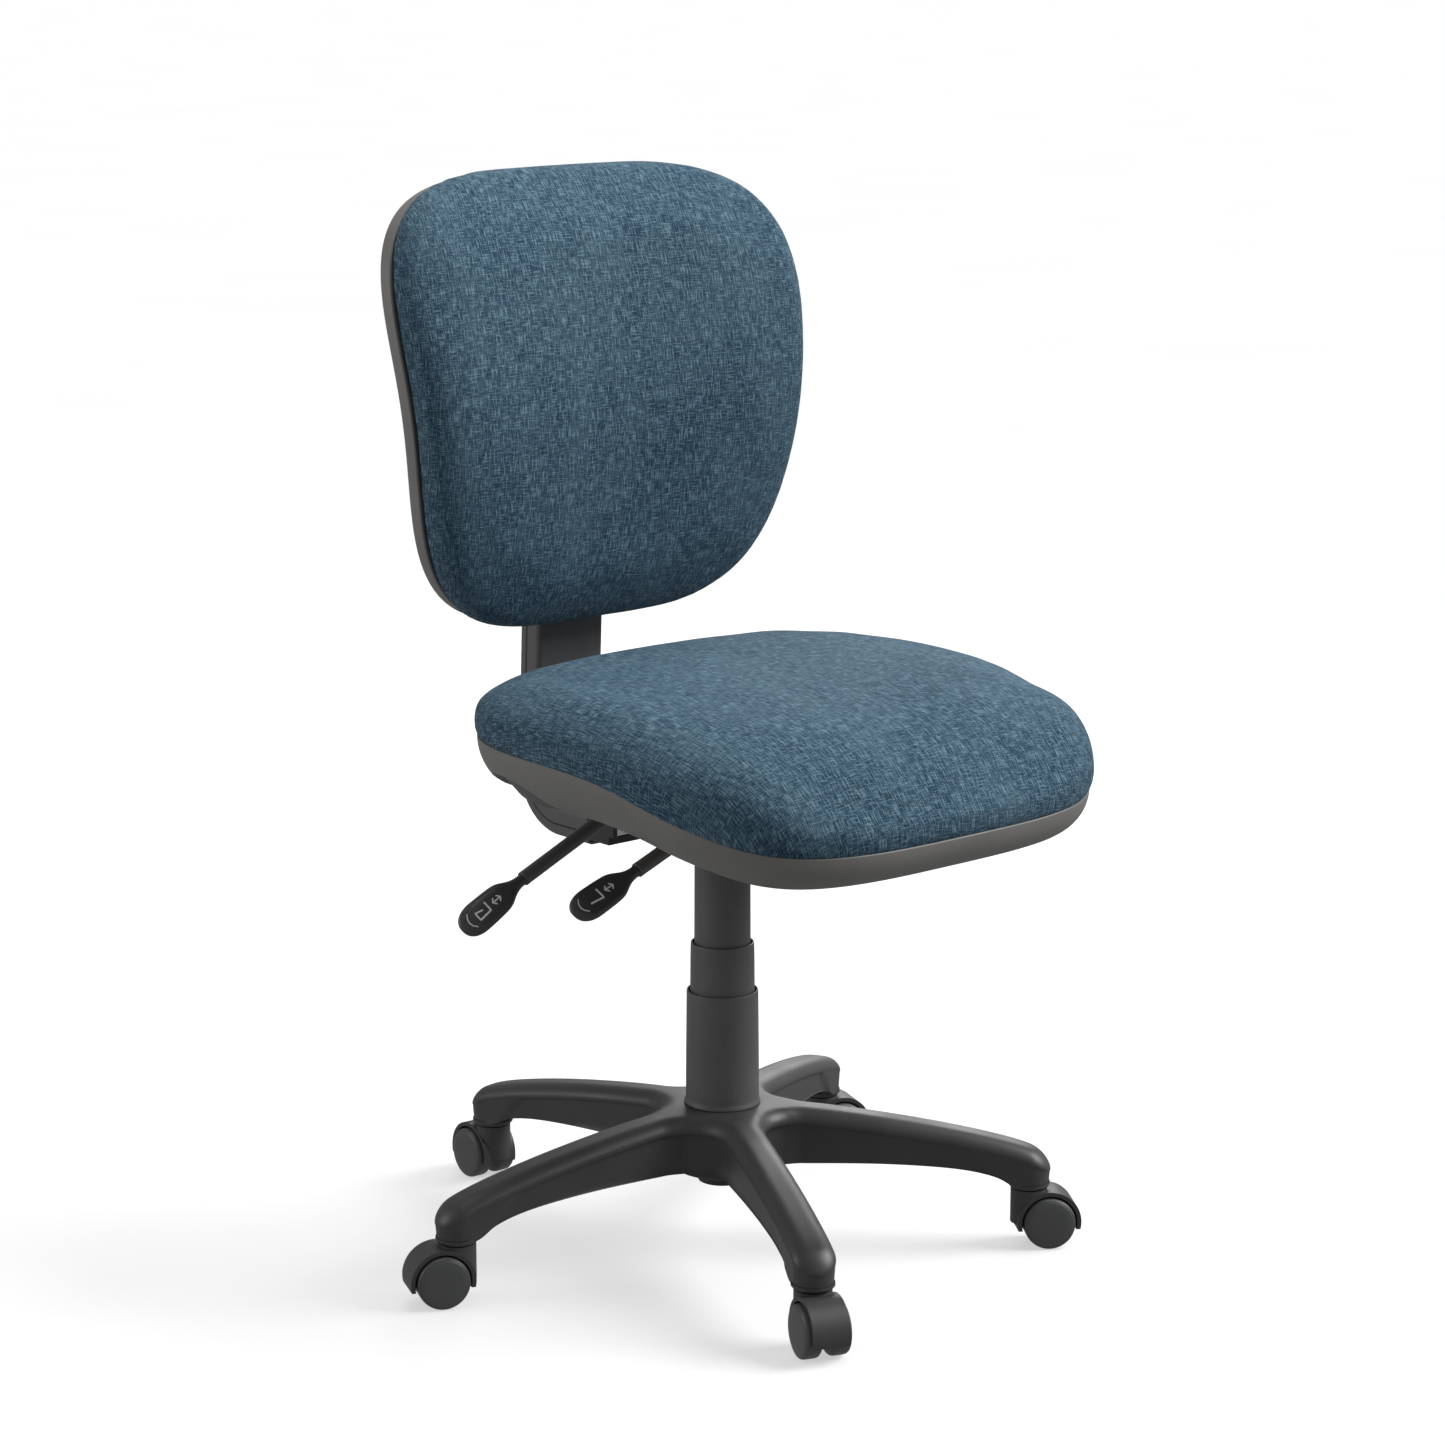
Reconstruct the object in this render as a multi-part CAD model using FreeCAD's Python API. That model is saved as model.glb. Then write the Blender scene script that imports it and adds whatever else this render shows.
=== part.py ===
import FreeCAD, Part
import math
import os
from FreeCAD import Vector

# Swivel office chair.  Millimetres, +Z up, origin on the floor under the gas lift's axis.
# The sitter faces -Y, so the sitter's right hand is at -X.

# ---------------------------------------------------------------- clearances
RUNNING = 0.06          # radial clearance of a shaft that turns or slides in its hole
SLIDING = 0.10          # gap on each side of a guided flat slide
BODY_GAP = 0.4          # air between pieces that move past each other without guiding

# ---------------------------------------------------------------- castors
CASTOR_COUNT = 5
CASTOR_CIRCLE = 295.0   # radius of the circle that the castor stems stand on
FIRST_LEG = 172.9       # direction of the first leg, degrees from +X
CASTOR_TURNS = (157.0, 249.0, 326.0, 340.0, 86.0)   # where each castor trails, degrees from +X
WHEEL_RADIUS = 25.0
WHEEL_WIDTH = 17.0
WHEEL_EDGE = 3.0        # rounding of the wheel's tread edges
WHEEL_WEB = 5.0         # half thickness of the hood's web between the wheels
WHEEL_SIDE_GAP = 0.4
CASTOR_TRAIL = 17.5     # axle's distance behind the stem
AXLE_RADIUS = 3.0
AXLE_END_WALL = 4.0     # closed wall of a wheel outside the axle's end
HOOD_GAP = 2.0
HOOD_WALL = 4.0
HOOD_SIDE = 4.5         # how far the wheels stand out of the hood
HOOD_FLOOR = 18.0       # height of the hood's lower edge
NECK_RADIUS = 17.6
NECK_TOP = 57.4
NECK_FLOOR = 23.0
STEM_RADIUS = 5.5
STEM_FOOT = 42.0        # height of the stem's lower end, pressed into the neck
STEM_REACH = 23.0       # how far the stem goes up into its leg
STEM_FLANGE_RADIUS = 9.0
STEM_FLANGE = 1.2

# ---------------------------------------------------------------- five-legged base
SOCKET_RADIUS = 20.5
SOCKET_LIP_RADIUS = 18.6
SOCKET_LIP = 1.4
SOCKET_STEP = 0.6        # how far the socket's round lower end stands in from the leg's sides
SOCKET_BORE_DEPTH = 26.0
LEG_TOP_AT_HUB = 138.0
LEG_TOP_MID = 121.0
LEG_TOP_TIP = 97.0
LEG_DEPTH_AT_HUB = 54.0
LEG_DEPTH_MID = 39.0
LEG_DEPTH_TIP = 32.0
LEG_SKIN = 5.0
LEG_SIDE_WALL = 4.0
LEG_EDGE = 8.0          # rounding of the leg's top edges
HUB_RADIUS = 46.0
HUB_TOP = 140.0
HUB_BOTTOM = 74.0
HUB_WEB_RADIUS = 62.0
HUB_WEB = 16.0

# ---------------------------------------------------------------- gas lift
TUBE_RADIUS = 25.0
TUBE_FOOT_RADIUS = 23.4
TUBE_WALL = 2.0
TUBE_BOTTOM = 62.0
TUBE_TOP = 268.0
TUBE_FLOOR = 3.0
TAPER_TOP = 136.0       # height where the tube's lower taper ends
BUSH_LENGTH = 78.0
BEARING_HEIGHT = 6.0
BEARING_RADIUS = 15.0
BEARING_BALLS = 8
BEARING_WASHER = 1.5     # thickness of each washer
BALL_BITE = 0.3          # how far a ball sits into each washer's race
ROD_RADIUS = 5.0
ROD_COLLAR_RADIUS = 9.0
ROD_COLLAR = 3.0
ROD_TOP = 298.0
ROD_TAIL = 6.0          # rod's end below the outer tube
PISTON_HEIGHT = 10.0
CLIP_RADIUS = 8.5
CLIP_THICKNESS = 1.5
CYLINDER_RADIUS = 14.0
CYLINDER_WALL = 1.8
CYLINDER_BOTTOM = 176.0
GLAND_HEIGHT = 12.0
CYLINDER_TOP = 436.0
CYLINDER_CAP = 40.0
CYLINDER_TIP_RADIUS = 13.0   # radius at the top of the seat taper
RELEASE_RADIUS = 4.0
RELEASE_PROUD = 8.0
RELEASE_LENGTH = 42.0

# ---------------------------------------------------------------- telescopic column cover
COVER_STEPS = (9.5, 5.5, 1.8)       # lower, middle and upper sleeve's radius beyond the outer tube's
COVER_RADII = tuple(TUBE_RADIUS + step for step in COVER_STEPS)
COVER_WALL = 1.5
COVER_LIP = 6.0
COVER_TOPS = (252.0, 299.0)        # top edges of the lower and middle sleeve
MIDDLE_LENGTH = 104.0
UPPER_OVERLAP = 30.0               # upper sleeve's hidden length inside the middle one
COVER_FOOT_RADIUS = COVER_RADII[0] + 2.0
COVER_FOOT = 2.0

# ---------------------------------------------------------------- seat mechanism
MECH_BOTTOM = 402.0
MECH_WIDTH = 100.0
MECH_FRONT = -95.0
MECH_REAR = 122.0
MECH_WALL = 2.5
MECH_BAR_GAP = 4.0       # air on each side of the back bar where it leaves the housing
LEVER_SLOT_GAP = 1.0
LEVER_SLOT_DROP = 16.0   # lever slot's reach below the lever's pivot
LEVER_SLOT_RISE = 14.0
MECH_FLANGE = 36.0      # width of the flange on each side of the tray
MECH_BOLT_X = 72.0      # half spacing of the seat bolts across the chair
MECH_BOLT_Y = 80.0      # half spacing of the seat bolts front to back
SEAT_BOLT_RADIUS = 4.0
SEAT_BOLT_HEAD_RADIUS = 7.0
SEAT_BOLT_HEAD = 5.0
TAPER_SOCKET_RADIUS = 19.0
TAPER_SOCKET_BOTTOM = 388.0
PIVOT_Y = 95.0
PIVOT_Z = 432.0
PIVOT_RADIUS = 6.0
PIVOT_HEAD = 4.0
CHEEK_THICKNESS = 5.0
CHEEK_RADIUS = 17.0
SPRING_COIL_RADIUS = 15.0
SPRING_WIRE_RADIUS = 3.0
SPRING_COILS = 6
SPRING_PITCH = 5.4       # spacing of neighbouring turns, a little under the wire's diameter
SPRING_HAND_X = 22.0    # distance of each coil's middle from the chair's centre plane

# ---------------------------------------------------------------- levers
LEVER_PIVOT_X = -44.0
HEIGHT_LEVER_Y = -60.0
HEIGHT_LEVER_Z = 450.0
HEIGHT_LEVER_SLOPE = 21.3
HEIGHT_LEVER_ROD = 108.0
BACK_LEVER_Y = 48.0
BACK_LEVER_Z = 454.0
BACK_LEVER_SLOPE = 23.5
BACK_LEVER_ROD = 158.0
LEVER_ROD_RADIUS = 5.0
LEVER_SLEEVE_RADIUS = 6.5
LEVER_SLEEVE_START = 30.0
PADDLE_NECK_RADIUS = 7.5
PADDLE_NECK = 22.0
PADDLE_LENGTH = 84.0
PADDLE_WIDTH = 29.0
PADDLE_THICKNESS = 13.0
PADDLE_ROD_DEPTH = 16.0
PADDLE_ROLL = 38.0       # how far the grips' upper faces turn towards the front, degrees
PADDLE_SHOULDER = 18.0   # length over which a grip widens from its neck
TONGUE_THICKNESS = 6.0
TONGUE_WIDTH = 12.0
LEVER_PIN_RADIUS = 3.0
LUG_REACH = 5.0         # lug's end beyond the pivot pin's axis
LUG_HALF = 8.0
LUG_THICKNESS = 4.0
LUG_GAP = 4.0           # air between a lever's rod and its lugs

# ---------------------------------------------------------------- back upright
UPRIGHT_CORNER_Y = 249.1
UPRIGHT_CORNER_Z = 386.0
UPRIGHT_LEAN = 2.6      # degrees forward of vertical
UPRIGHT_LENGTH = 416.0
ELBOW_RADIUS = 46.0
BAR_WIDTH = 60.0
BAR_THICKNESS = 8.0
BAR_START = 102.0
YOKE_LENGTH = 34.0       # length of the yoke and its side plates behind the tilt pivot
GUSSET_REACH = 20.0
UPRIGHT_COVER_WIDTH = 82.0
UPRIGHT_COVER_DEPTH = 31.0
UPRIGHT_COVER_WALL = 2.5
UPRIGHT_COVER_START = 152.0
UPRIGHT_COVER_JOINT = 3.5   # depth offset of the seam between the cover's halves

# ---------------------------------------------------------------- seat
SEAT_WIDTH = 500.0
SEAT_DEPTH = 500.0
SEAT_MIDDLE_Y = -85.0
SEAT_SQUARENESS = 3.0
SEAM_REAR = 515.0       # height of the edge between fabric and shell, rear half
SEAM_FRONT = 465.0
SEAT_TOP = 567.0
SEAT_TOP_FRONT = 528.0
SEAT_NOSE = 492.0       # height where the cushion's top meets its front edge
SHELL_WALL = 3.0
SHELL_DEPTH_REAR = 42.0
SHELL_DEPTH_FRONT = 26.0
SHELL_TAPER = 26.0      # how far the shell draws in from its rim to its floor
SEAT_BOARD_BOTTOM = 480.0
SEAT_BOARD_THICKNESS = 12.0
SEAT_BOARD_INSET = 30.0
SEAT_BOARD_FRONT = -248.0
SEAT_CUSHION_EDGE = 16.0
SHELL_OPENING_MARGIN = 6.0
LEVER_RECESS_REAR = 92.0
LEVER_RECESS_FRONT = -28.0
LEVER_RECESS_RISE = 16.0
LEVER_RECESS_WIDTH = 62.0
ARM_BOLT_X = 150.0      # armrest inserts: half spacing across the chair
ARM_BOLT_Y = (-60.0, 20.0)
ARM_BOLT_RADIUS = 3.4
ARM_ACCESS_RADIUS = 9.0

# ---------------------------------------------------------------- backrest
BACK_HALF_WIDTH = 226.0
BACK_WIDENING = 26.0    # extra half width at the top, lost again at the bottom
BACK_MIDDLE_Z = 805.0
BACK_HALF_HEIGHT = 219.0
BACK_SQUARENESS = 3.7
BACK_WRAP = 20.0        # how much the edges stand forward of the middle
BACK_PROFILE = ((540.0, 200.0), (586.0, 191.0), (650.0, 181.0), (770.0, 167.0), (840.0, 171.0),
                (900.0, 183.0), (945.0, 195.0), (1024.0, 222.0), (1070.0, 240.0))
BACK_SHELL_DEPTH = 18.0
BACK_SHELL_WALL = 3.0
BACK_BOARD_THICKNESS = 10.0
BACK_BOARD_INSET = 16.0
BACK_CUSHION_THICKNESS = 46.0
BACK_CUSHION_EDGE = 15.0
CARRIAGE_WALL = 5.0
CARRIAGE_START = 300.0  # along the upright, from its corner
CARRIAGE_LENGTH = 108.0
HOUSING_START = 232.0
HOUSING_END = 466.0
HOUSING_WALL = 3.0
HOUSING_EDGE = 9.0
BACK_SCREW_RADIUS = 3.0
BACK_SCREW_X = 30.0
BACK_SCREW_Z = 36.0


# ================================================================ small helpers
def box(x0, x1, y0, y1, z0, z1):
    """Box between two corners."""
    return Part.makeBox(x1 - x0, y1 - y0, z1 - z0, Vector(x0, y0, z0))


def rod_z(radius, z0, z1, x=0.0, y=0.0):
    """Cylinder along Z."""
    return Part.makeCylinder(radius, z1 - z0, Vector(x, y, z0), Vector(0, 0, 1))


def rod_x(radius, x0, x1, y, z):
    """Cylinder along X."""
    return Part.makeCylinder(radius, x1 - x0, Vector(x0, y, z), Vector(1, 0, 0))


def rod_y(radius, y0, y1, x, z):
    """Cylinder along Y."""
    return Part.makeCylinder(radius, y1 - y0, Vector(x, y0, z), Vector(0, 1, 0))


def ring_z(outer, inner, z0, z1):
    """Plain ring about the Z axis."""
    return rod_z(outer, z0, z1).cut(rod_z(inner, z0 - 1, z1 + 1))


def turned(profile):
    """Solid of revolution about Z from (radius, height) points."""
    points = [Vector(radius, 0, height) for radius, height in profile]
    face = Part.Face(Part.makePolygon(points + points[:1]))
    return face.revolve(Vector(0, 0, 0), Vector(0, 0, 1), 360)


def fused(shapes):
    """One solid from several that touch or overlap."""
    return shapes[0].multiFuse(shapes[1:]).removeSplitter()


def moved(shape, offset, turn=0.0):
    """Copy of a shape, turned about Z and then shifted."""
    copy = shape.copy()
    copy.rotate(Vector(0, 0, 0), Vector(0, 0, 1), turn)
    copy.translate(offset)
    return copy


def rounded_power(value, exponent):
    """Signed power, the building step of a superellipse."""
    return math.copysign(abs(value) ** exponent, value)


def closed_curve(points):
    """Smooth closed wire through points."""
    curve = Part.BSplineCurve()
    curve.interpolate(points, PeriodicFlag=True)
    return Part.Wire(curve.toShape())


def open_curve(points):
    """Smooth open edge through points."""
    curve = Part.BSplineCurve()
    curve.interpolate(points)
    return curve.toShape()


# ================================================================ castors
def castor_places():
    """Stem position and trailing direction of every castor."""
    for index in range(CASTOR_COUNT):
        angle = math.radians(FIRST_LEG + 360.0 / CASTOR_COUNT * index)
        place = Vector(CASTOR_CIRCLE * math.cos(angle), CASTOR_CIRCLE * math.sin(angle), 0)
        yield index + 1, place, CASTOR_TURNS[index]


def castor_hood():
    """Moulded body: a neck on the stem and a hood over both wheels, with a web between them."""
    pocket = WHEEL_RADIUS + HOOD_GAP
    drum_radius = pocket + HOOD_WALL
    wheel_outside = WHEEL_WEB + WHEEL_SIDE_GAP + WHEEL_WIDTH
    half_width = wheel_outside - HOOD_SIDE
    drum = rod_y(drum_radius, -half_width, half_width, CASTOR_TRAIL, WHEEL_RADIUS)
    drum = drum.common(box(-100, 100, -100, 100, HOOD_FLOOR, NECK_TOP))
    neck = rod_z(NECK_RADIUS, NECK_FLOOR, NECK_TOP)
    neck = neck.cut(box(NECK_RADIUS * 0.6, 100, -100, 100, 0, HOOD_FLOOR + drum_radius * 0.6))
    shape = fused([drum, neck])
    for side in (-1, 1):
        inner = side * WHEEL_WEB
        outer = side * (wheel_outside + 10)
        pocket_shape = rod_y(pocket, min(inner, outer), max(inner, outer), CASTOR_TRAIL, WHEEL_RADIUS)
        shape = shape.cut(pocket_shape)
    shape = shape.cut(rod_y(AXLE_RADIUS, -50, 50, CASTOR_TRAIL, WHEEL_RADIUS))
    return shape.cut(rod_z(STEM_RADIUS, STEM_FOOT, NECK_TOP + 1))


def castor_wheel(side):
    """Wheel with rounded tread edges and a blind bore for the axle."""
    inner = WHEEL_WEB + WHEEL_SIDE_GAP
    wheel = rod_y(WHEEL_RADIUS, inner, inner + WHEEL_WIDTH, CASTOR_TRAIL, WHEEL_RADIUS)
    wheel = wheel.makeFillet(WHEEL_EDGE, [edge for edge in wheel.Edges if edge.Length > WHEEL_WIDTH * 2])
    bore_end = inner + WHEEL_WIDTH - AXLE_END_WALL
    wheel = wheel.cut(rod_y(AXLE_RADIUS + RUNNING, 0, bore_end, CASTOR_TRAIL, WHEEL_RADIUS))
    if side > 0:
        return wheel
    return wheel.mirror(Vector(0, 0, 0), Vector(0, 1, 0))


def castor_axle():
    """Steel pin through the hood's web into both wheels."""
    half = WHEEL_WEB + WHEEL_SIDE_GAP + WHEEL_WIDTH - AXLE_END_WALL - BODY_GAP
    return rod_y(AXLE_RADIUS, -half, half, CASTOR_TRAIL, WHEEL_RADIUS)


def castor_stem():
    """Steel stem, pressed into the neck, that turns in the leg's socket."""
    flange_top = NECK_TOP + STEM_FLANGE
    pin = rod_z(STEM_RADIUS, STEM_FOOT, flange_top + STEM_REACH)
    flange = rod_z(STEM_FLANGE_RADIUS, NECK_TOP, flange_top)
    return fused([pin, flange])


# ================================================================ five-legged base
def leg_profile(drop=0.0):
    """Side view of a leg: (radius, top height, depth) from the hub to the socket."""
    tip = CASTOR_CIRCLE
    return ((HUB_RADIUS * 0.5, LEG_TOP_AT_HUB - drop, LEG_DEPTH_AT_HUB),
            (tip * 0.36, LEG_TOP_AT_HUB - 3.5 - drop, LEG_DEPTH_AT_HUB - 3.5),
            (tip * 0.68, LEG_TOP_MID - drop, LEG_DEPTH_MID),
            (tip * 0.86, (LEG_TOP_MID + LEG_TOP_TIP) / 2 - drop, LEG_DEPTH_TIP),
            (tip, LEG_TOP_TIP - drop, LEG_DEPTH_TIP))


def leg_side_face(drop, floor_drop, tip_radius):
    """Closed side-view face between the leg's top curve and its underside."""
    rows = leg_profile(drop)
    end = Vector(tip_radius, 0, rows[-1][1] - 0.45 * (LEG_TOP_MID - LEG_TOP_TIP))
    top = open_curve([Vector(radius, 0, height) for radius, height, depth in rows] + [end])
    under = [Vector(radius, 0, height - depth - floor_drop) for radius, height, depth in rows[:-1]]
    bottom = open_curve(under)
    corner = Vector(tip_radius, 0, under[-1].z)
    edges = [top, Part.makeLine(end, corner), Part.makeLine(corner, under[-1]), bottom,
             Part.makeLine(under[0], Vector(rows[0][0], 0, rows[0][1]))]
    return Part.Face(Part.Wire(Part.__sortEdges__(edges)))


def socket_floor():
    """Height of the leg's lower face around the castor stem."""
    return NECK_TOP + STEM_FLANGE + RUNNING + SOCKET_LIP


def star_leg():
    """One hollow leg along +X with the castor socket at its end."""
    tip = CASTOR_CIRCLE + SOCKET_RADIUS
    plan = fused([box(0, CASTOR_CIRCLE, -SOCKET_RADIUS, SOCKET_RADIUS, 0, HUB_TOP),
                  rod_z(SOCKET_RADIUS, 0, HUB_TOP, CASTOR_CIRCLE)])
    side = leg_side_face(0, 0, tip + 1)
    side.translate(Vector(0, -SOCKET_RADIUS - 1, 0))
    outer = side.extrude(Vector(0, 2 * SOCKET_RADIUS + 2, 0)).common(plan)
    top_face = max((face for face in outer.Faces if face.normalAt(0.5, 0.5).z > 0.3), key=lambda f: f.Area)
    hub_x = HUB_RADIUS * 0.5
    long_edges = [edge for edge in top_face.Edges if edge.BoundBox.XMax > hub_x + 5]
    outer = outer.makeFillet(LEG_EDGE, long_edges)
    hollow = leg_side_face(LEG_SKIN, LEG_DEPTH_AT_HUB, tip)
    half = SOCKET_RADIUS - LEG_SIDE_WALL
    hollow.translate(Vector(0, -half, 0))
    hollow = hollow.extrude(Vector(0, 2 * half, 0))
    hollow = hollow.common(box(HUB_RADIUS, CASTOR_CIRCLE - SOCKET_RADIUS - 2, -half, half, 0, HUB_TOP))
    socket = rod_z(SOCKET_RADIUS - SOCKET_STEP, socket_floor(), LEG_TOP_TIP - LEG_SKIN * 2, CASTOR_CIRCLE)
    lip = rod_z(SOCKET_LIP_RADIUS, socket_floor() - SOCKET_LIP, socket_floor(), CASTOR_CIRCLE)
    return fused([outer.cut(hollow), socket, lip])


def star_base():
    """Hub and five legs of one moulding, with a taper bore for the gas lift."""
    hub = rod_z(HUB_RADIUS, HUB_BOTTOM, HUB_TOP)
    hub = hub.makeChamfer(3, [edge for edge in hub.Edges if edge.BoundBox.ZMin > HUB_TOP - 1])
    web_top = LEG_TOP_AT_HUB - 2
    web = turned([(0, web_top - HUB_WEB), (HUB_WEB_RADIUS, web_top - HUB_WEB), (HUB_WEB_RADIUS, web_top - 6),
                  (HUB_RADIUS, web_top), (0, web_top)])
    legs = [moved(star_leg(), Vector(0, 0, 0), FIRST_LEG + 360.0 / CASTOR_COUNT * index)
            for index in range(CASTOR_COUNT)]
    shape = fused([hub, web] + legs)
    shape = shape.cut(tube_outside())
    for index, place, turn in castor_places():
        top = NECK_TOP + STEM_FLANGE + SOCKET_BORE_DEPTH
        shape = shape.cut(rod_z(STEM_RADIUS + RUNNING, 0, top, place.x, place.y))
    return shape


# ================================================================ gas lift
def tube_outside():
    """Outer form of the gas lift's tube: a slight taper below, plain above."""
    return turned([(0, TUBE_BOTTOM), (TUBE_FOOT_RADIUS, TUBE_BOTTOM), (TUBE_RADIUS, TAPER_TOP),
                   (TUBE_RADIUS, TUBE_TOP), (0, TUBE_TOP)])


def tube_bore_radius():
    """Inner radius of the outer tube."""
    return TUBE_FOOT_RADIUS - TUBE_WALL


def outer_tube():
    """Outer tube with a floor that the rod passes through."""
    bore = rod_z(tube_bore_radius(), TUBE_BOTTOM + TUBE_FLOOR, TUBE_TOP + 1)
    rod_hole = rod_z(ROD_RADIUS + RUNNING, TUBE_BOTTOM - 1, TUBE_BOTTOM + TUBE_FLOOR + 1)
    return tube_outside().cut(bore).cut(rod_hole)


def guide_bush():
    """Plastic bush in the tube's mouth that guides the cylinder."""
    return ring_z(tube_bore_radius(), CYLINDER_RADIUS + RUNNING, TUBE_TOP - BUSH_LENGTH, TUBE_TOP)


def bearing_floor():
    """Height of the tube's floor, where the thrust bearing sits."""
    return TUBE_BOTTOM + TUBE_FLOOR


def thrust_bearing():
    """Ball thrust bearing under the rod's collar, drawn as two washers and a row of balls."""
    floor = bearing_floor()
    washer = BEARING_WASHER
    low = ring_z(BEARING_RADIUS, ROD_RADIUS + RUNNING, floor, floor + washer)
    high = ring_z(BEARING_RADIUS, ROD_RADIUS + RUNNING, floor + BEARING_HEIGHT - washer, floor + BEARING_HEIGHT)
    ball_circle = (BEARING_RADIUS + ROD_RADIUS) / 2
    balls = []
    for index in range(BEARING_BALLS):
        angle = 2 * math.pi * index / BEARING_BALLS
        centre = Vector(ball_circle * math.cos(angle), ball_circle * math.sin(angle), floor + BEARING_HEIGHT / 2)
        balls.append(Part.makeSphere(BEARING_HEIGHT / 2 - washer + BALL_BITE, centre))
    return fused([low, high] + balls)


def piston_rod():
    """Rod that hangs in the thrust bearing, with its piston inside the cylinder."""
    collar_z = bearing_floor() + BEARING_HEIGHT + 0.02
    groove_z = TUBE_BOTTOM - 0.3
    rod = rod_z(ROD_RADIUS, TUBE_BOTTOM - ROD_TAIL, ROD_TOP)
    collar = rod_z(ROD_COLLAR_RADIUS, collar_z, collar_z + ROD_COLLAR)
    piston = rod_z(CYLINDER_RADIUS - CYLINDER_WALL - RUNNING, ROD_TOP - PISTON_HEIGHT, ROD_TOP)
    groove = ring_z(ROD_RADIUS + 1, ROD_RADIUS - 1, groove_z - CLIP_THICKNESS, groove_z)
    return fused([rod, collar, piston]).cut(groove)


def rod_clip():
    """Spring clip in the rod's groove below the tube."""
    top = TUBE_BOTTOM - 0.3
    clip = ring_z(CLIP_RADIUS, ROD_RADIUS - 1, top - CLIP_THICKNESS, top)
    return clip.cut(box(0, CLIP_RADIUS + 1, -2.5, 2.5, top - 5, top + 1))


def gas_cylinder():
    """Pressure cylinder with a gland below and a seat taper above."""
    taper_start = CYLINDER_TOP - CYLINDER_CAP
    shape = turned([(0, CYLINDER_BOTTOM), (CYLINDER_RADIUS, CYLINDER_BOTTOM), (CYLINDER_RADIUS, taper_start),
                    (CYLINDER_TIP_RADIUS, CYLINDER_TOP), (0, CYLINDER_TOP)])
    bore = CYLINDER_RADIUS - CYLINDER_WALL
    shape = shape.cut(rod_z(bore, CYLINDER_BOTTOM + GLAND_HEIGHT, taper_start - 2))
    shape = shape.cut(rod_z(ROD_RADIUS + RUNNING, CYLINDER_BOTTOM - 1, CYLINDER_BOTTOM + GLAND_HEIGHT + 1))
    return shape.cut(rod_z(RELEASE_RADIUS + RUNNING, taper_start - 3, CYLINDER_TOP + 1))


def release_pin():
    """Valve pin that the height lever presses."""
    top = CYLINDER_TOP + RELEASE_PROUD
    return rod_z(RELEASE_RADIUS, top - RELEASE_LENGTH, top)


# ================================================================ column cover
def sleeve(radius, bottom, top, lip_inside, lip_outside):
    """Thin sleeve with an inward lip at its top and an outward lip at its bottom."""
    inside = radius - COVER_WALL
    pieces = [ring_z(radius, inside, bottom, top)]
    if lip_inside:
        pieces.append(ring_z(inside + 0.1, lip_inside, top - COVER_LIP, top))
    if lip_outside:
        pieces.append(ring_z(lip_outside, inside + 0.1, bottom, bottom + COVER_LIP))
    return fused(pieces)


def column_cover_lower():
    """Lowest and widest sleeve, standing on the hub with a small foot."""
    radius = COVER_RADII[0]
    body = sleeve(radius, HUB_TOP, COVER_TOPS[0], COVER_RADII[1] + RUNNING, 0)
    foot = ring_z(COVER_FOOT_RADIUS, radius - COVER_WALL, HUB_TOP, HUB_TOP + COVER_FOOT)
    return fused([body, foot])


def column_cover_middle():
    """Middle sleeve."""
    return sleeve(COVER_RADII[1], COVER_TOPS[1] - MIDDLE_LENGTH, COVER_TOPS[1], COVER_RADII[2] + RUNNING,
                  COVER_RADII[0] - COVER_WALL - RUNNING)


def column_cover_upper():
    """Upper sleeve, hanging under the seat mechanism."""
    return sleeve(COVER_RADII[2], COVER_TOPS[1] - UPPER_OVERLAP, TAPER_SOCKET_BOTTOM, 0,
                  COVER_RADII[1] - COVER_WALL - RUNNING)


# ================================================================ seat mechanism
def mechanism_housing():
    """Pressed steel tray with side flanges, bolted under the seat board."""
    half = MECH_WIDTH / 2
    top = SEAT_BOARD_BOTTOM
    tray = box(-half, half, MECH_FRONT, MECH_REAR, MECH_BOTTOM, top)
    inside = box(-half + MECH_WALL, half - MECH_WALL, MECH_FRONT + MECH_WALL, MECH_REAR - MECH_WALL,
                 MECH_BOTTOM + MECH_WALL, top + 1)
    flange_x = half + MECH_FLANGE
    flanges = box(-flange_x, flange_x, MECH_FRONT, MECH_REAR, top - MECH_WALL, top)
    flanges = flanges.cut(box(-half, half, MECH_FRONT - 1, MECH_REAR + 1, top - MECH_WALL - 1, top + 1))
    shape = fused([tray.cut(inside), flanges])
    shape = shape.cut(rod_z(TAPER_SOCKET_RADIUS, MECH_BOTTOM - 1, MECH_BOTTOM + MECH_WALL + 1))
    shape = shape.cut(rod_x(PIVOT_RADIUS, -half - 1, half + 1, PIVOT_Y, PIVOT_Z))
    rear_cut = box(-BAR_WIDTH / 2 - MECH_BAR_GAP, BAR_WIDTH / 2 + MECH_BAR_GAP, PIVOT_Y + MECH_WALL, MECH_REAR + 1,
                   MECH_BOTTOM - 1, PIVOT_Z)
    shape = shape.cut(rear_cut)
    for lever_y, lever_z in ((HEIGHT_LEVER_Y, HEIGHT_LEVER_Z), (BACK_LEVER_Y, BACK_LEVER_Z)):
        side = LEVER_ROD_RADIUS + LEVER_SLOT_GAP
        slot = box(-half - 1, -half + MECH_WALL + 1, lever_y - side, lever_y + side, lever_z - LEVER_SLOT_DROP,
                   lever_z + LEVER_SLOT_RISE)
        shape = shape.cut(slot)
        shape = shape.cut(lever_pin_holes(lever_y, lever_z))
    for x, y in seat_bolt_places():
        shape = shape.cut(rod_z(SEAT_BOLT_RADIUS + 0.5, top - 10, top + 1, x, y))
    return fused([shape] + lever_brackets())


def seat_bolt_places():
    """Centres of the four bolts that hold the mechanism to the seat board."""
    return [(sx * MECH_BOLT_X, sy * MECH_BOLT_Y) for sx in (-1, 1) for sy in (-1, 1)]


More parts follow.
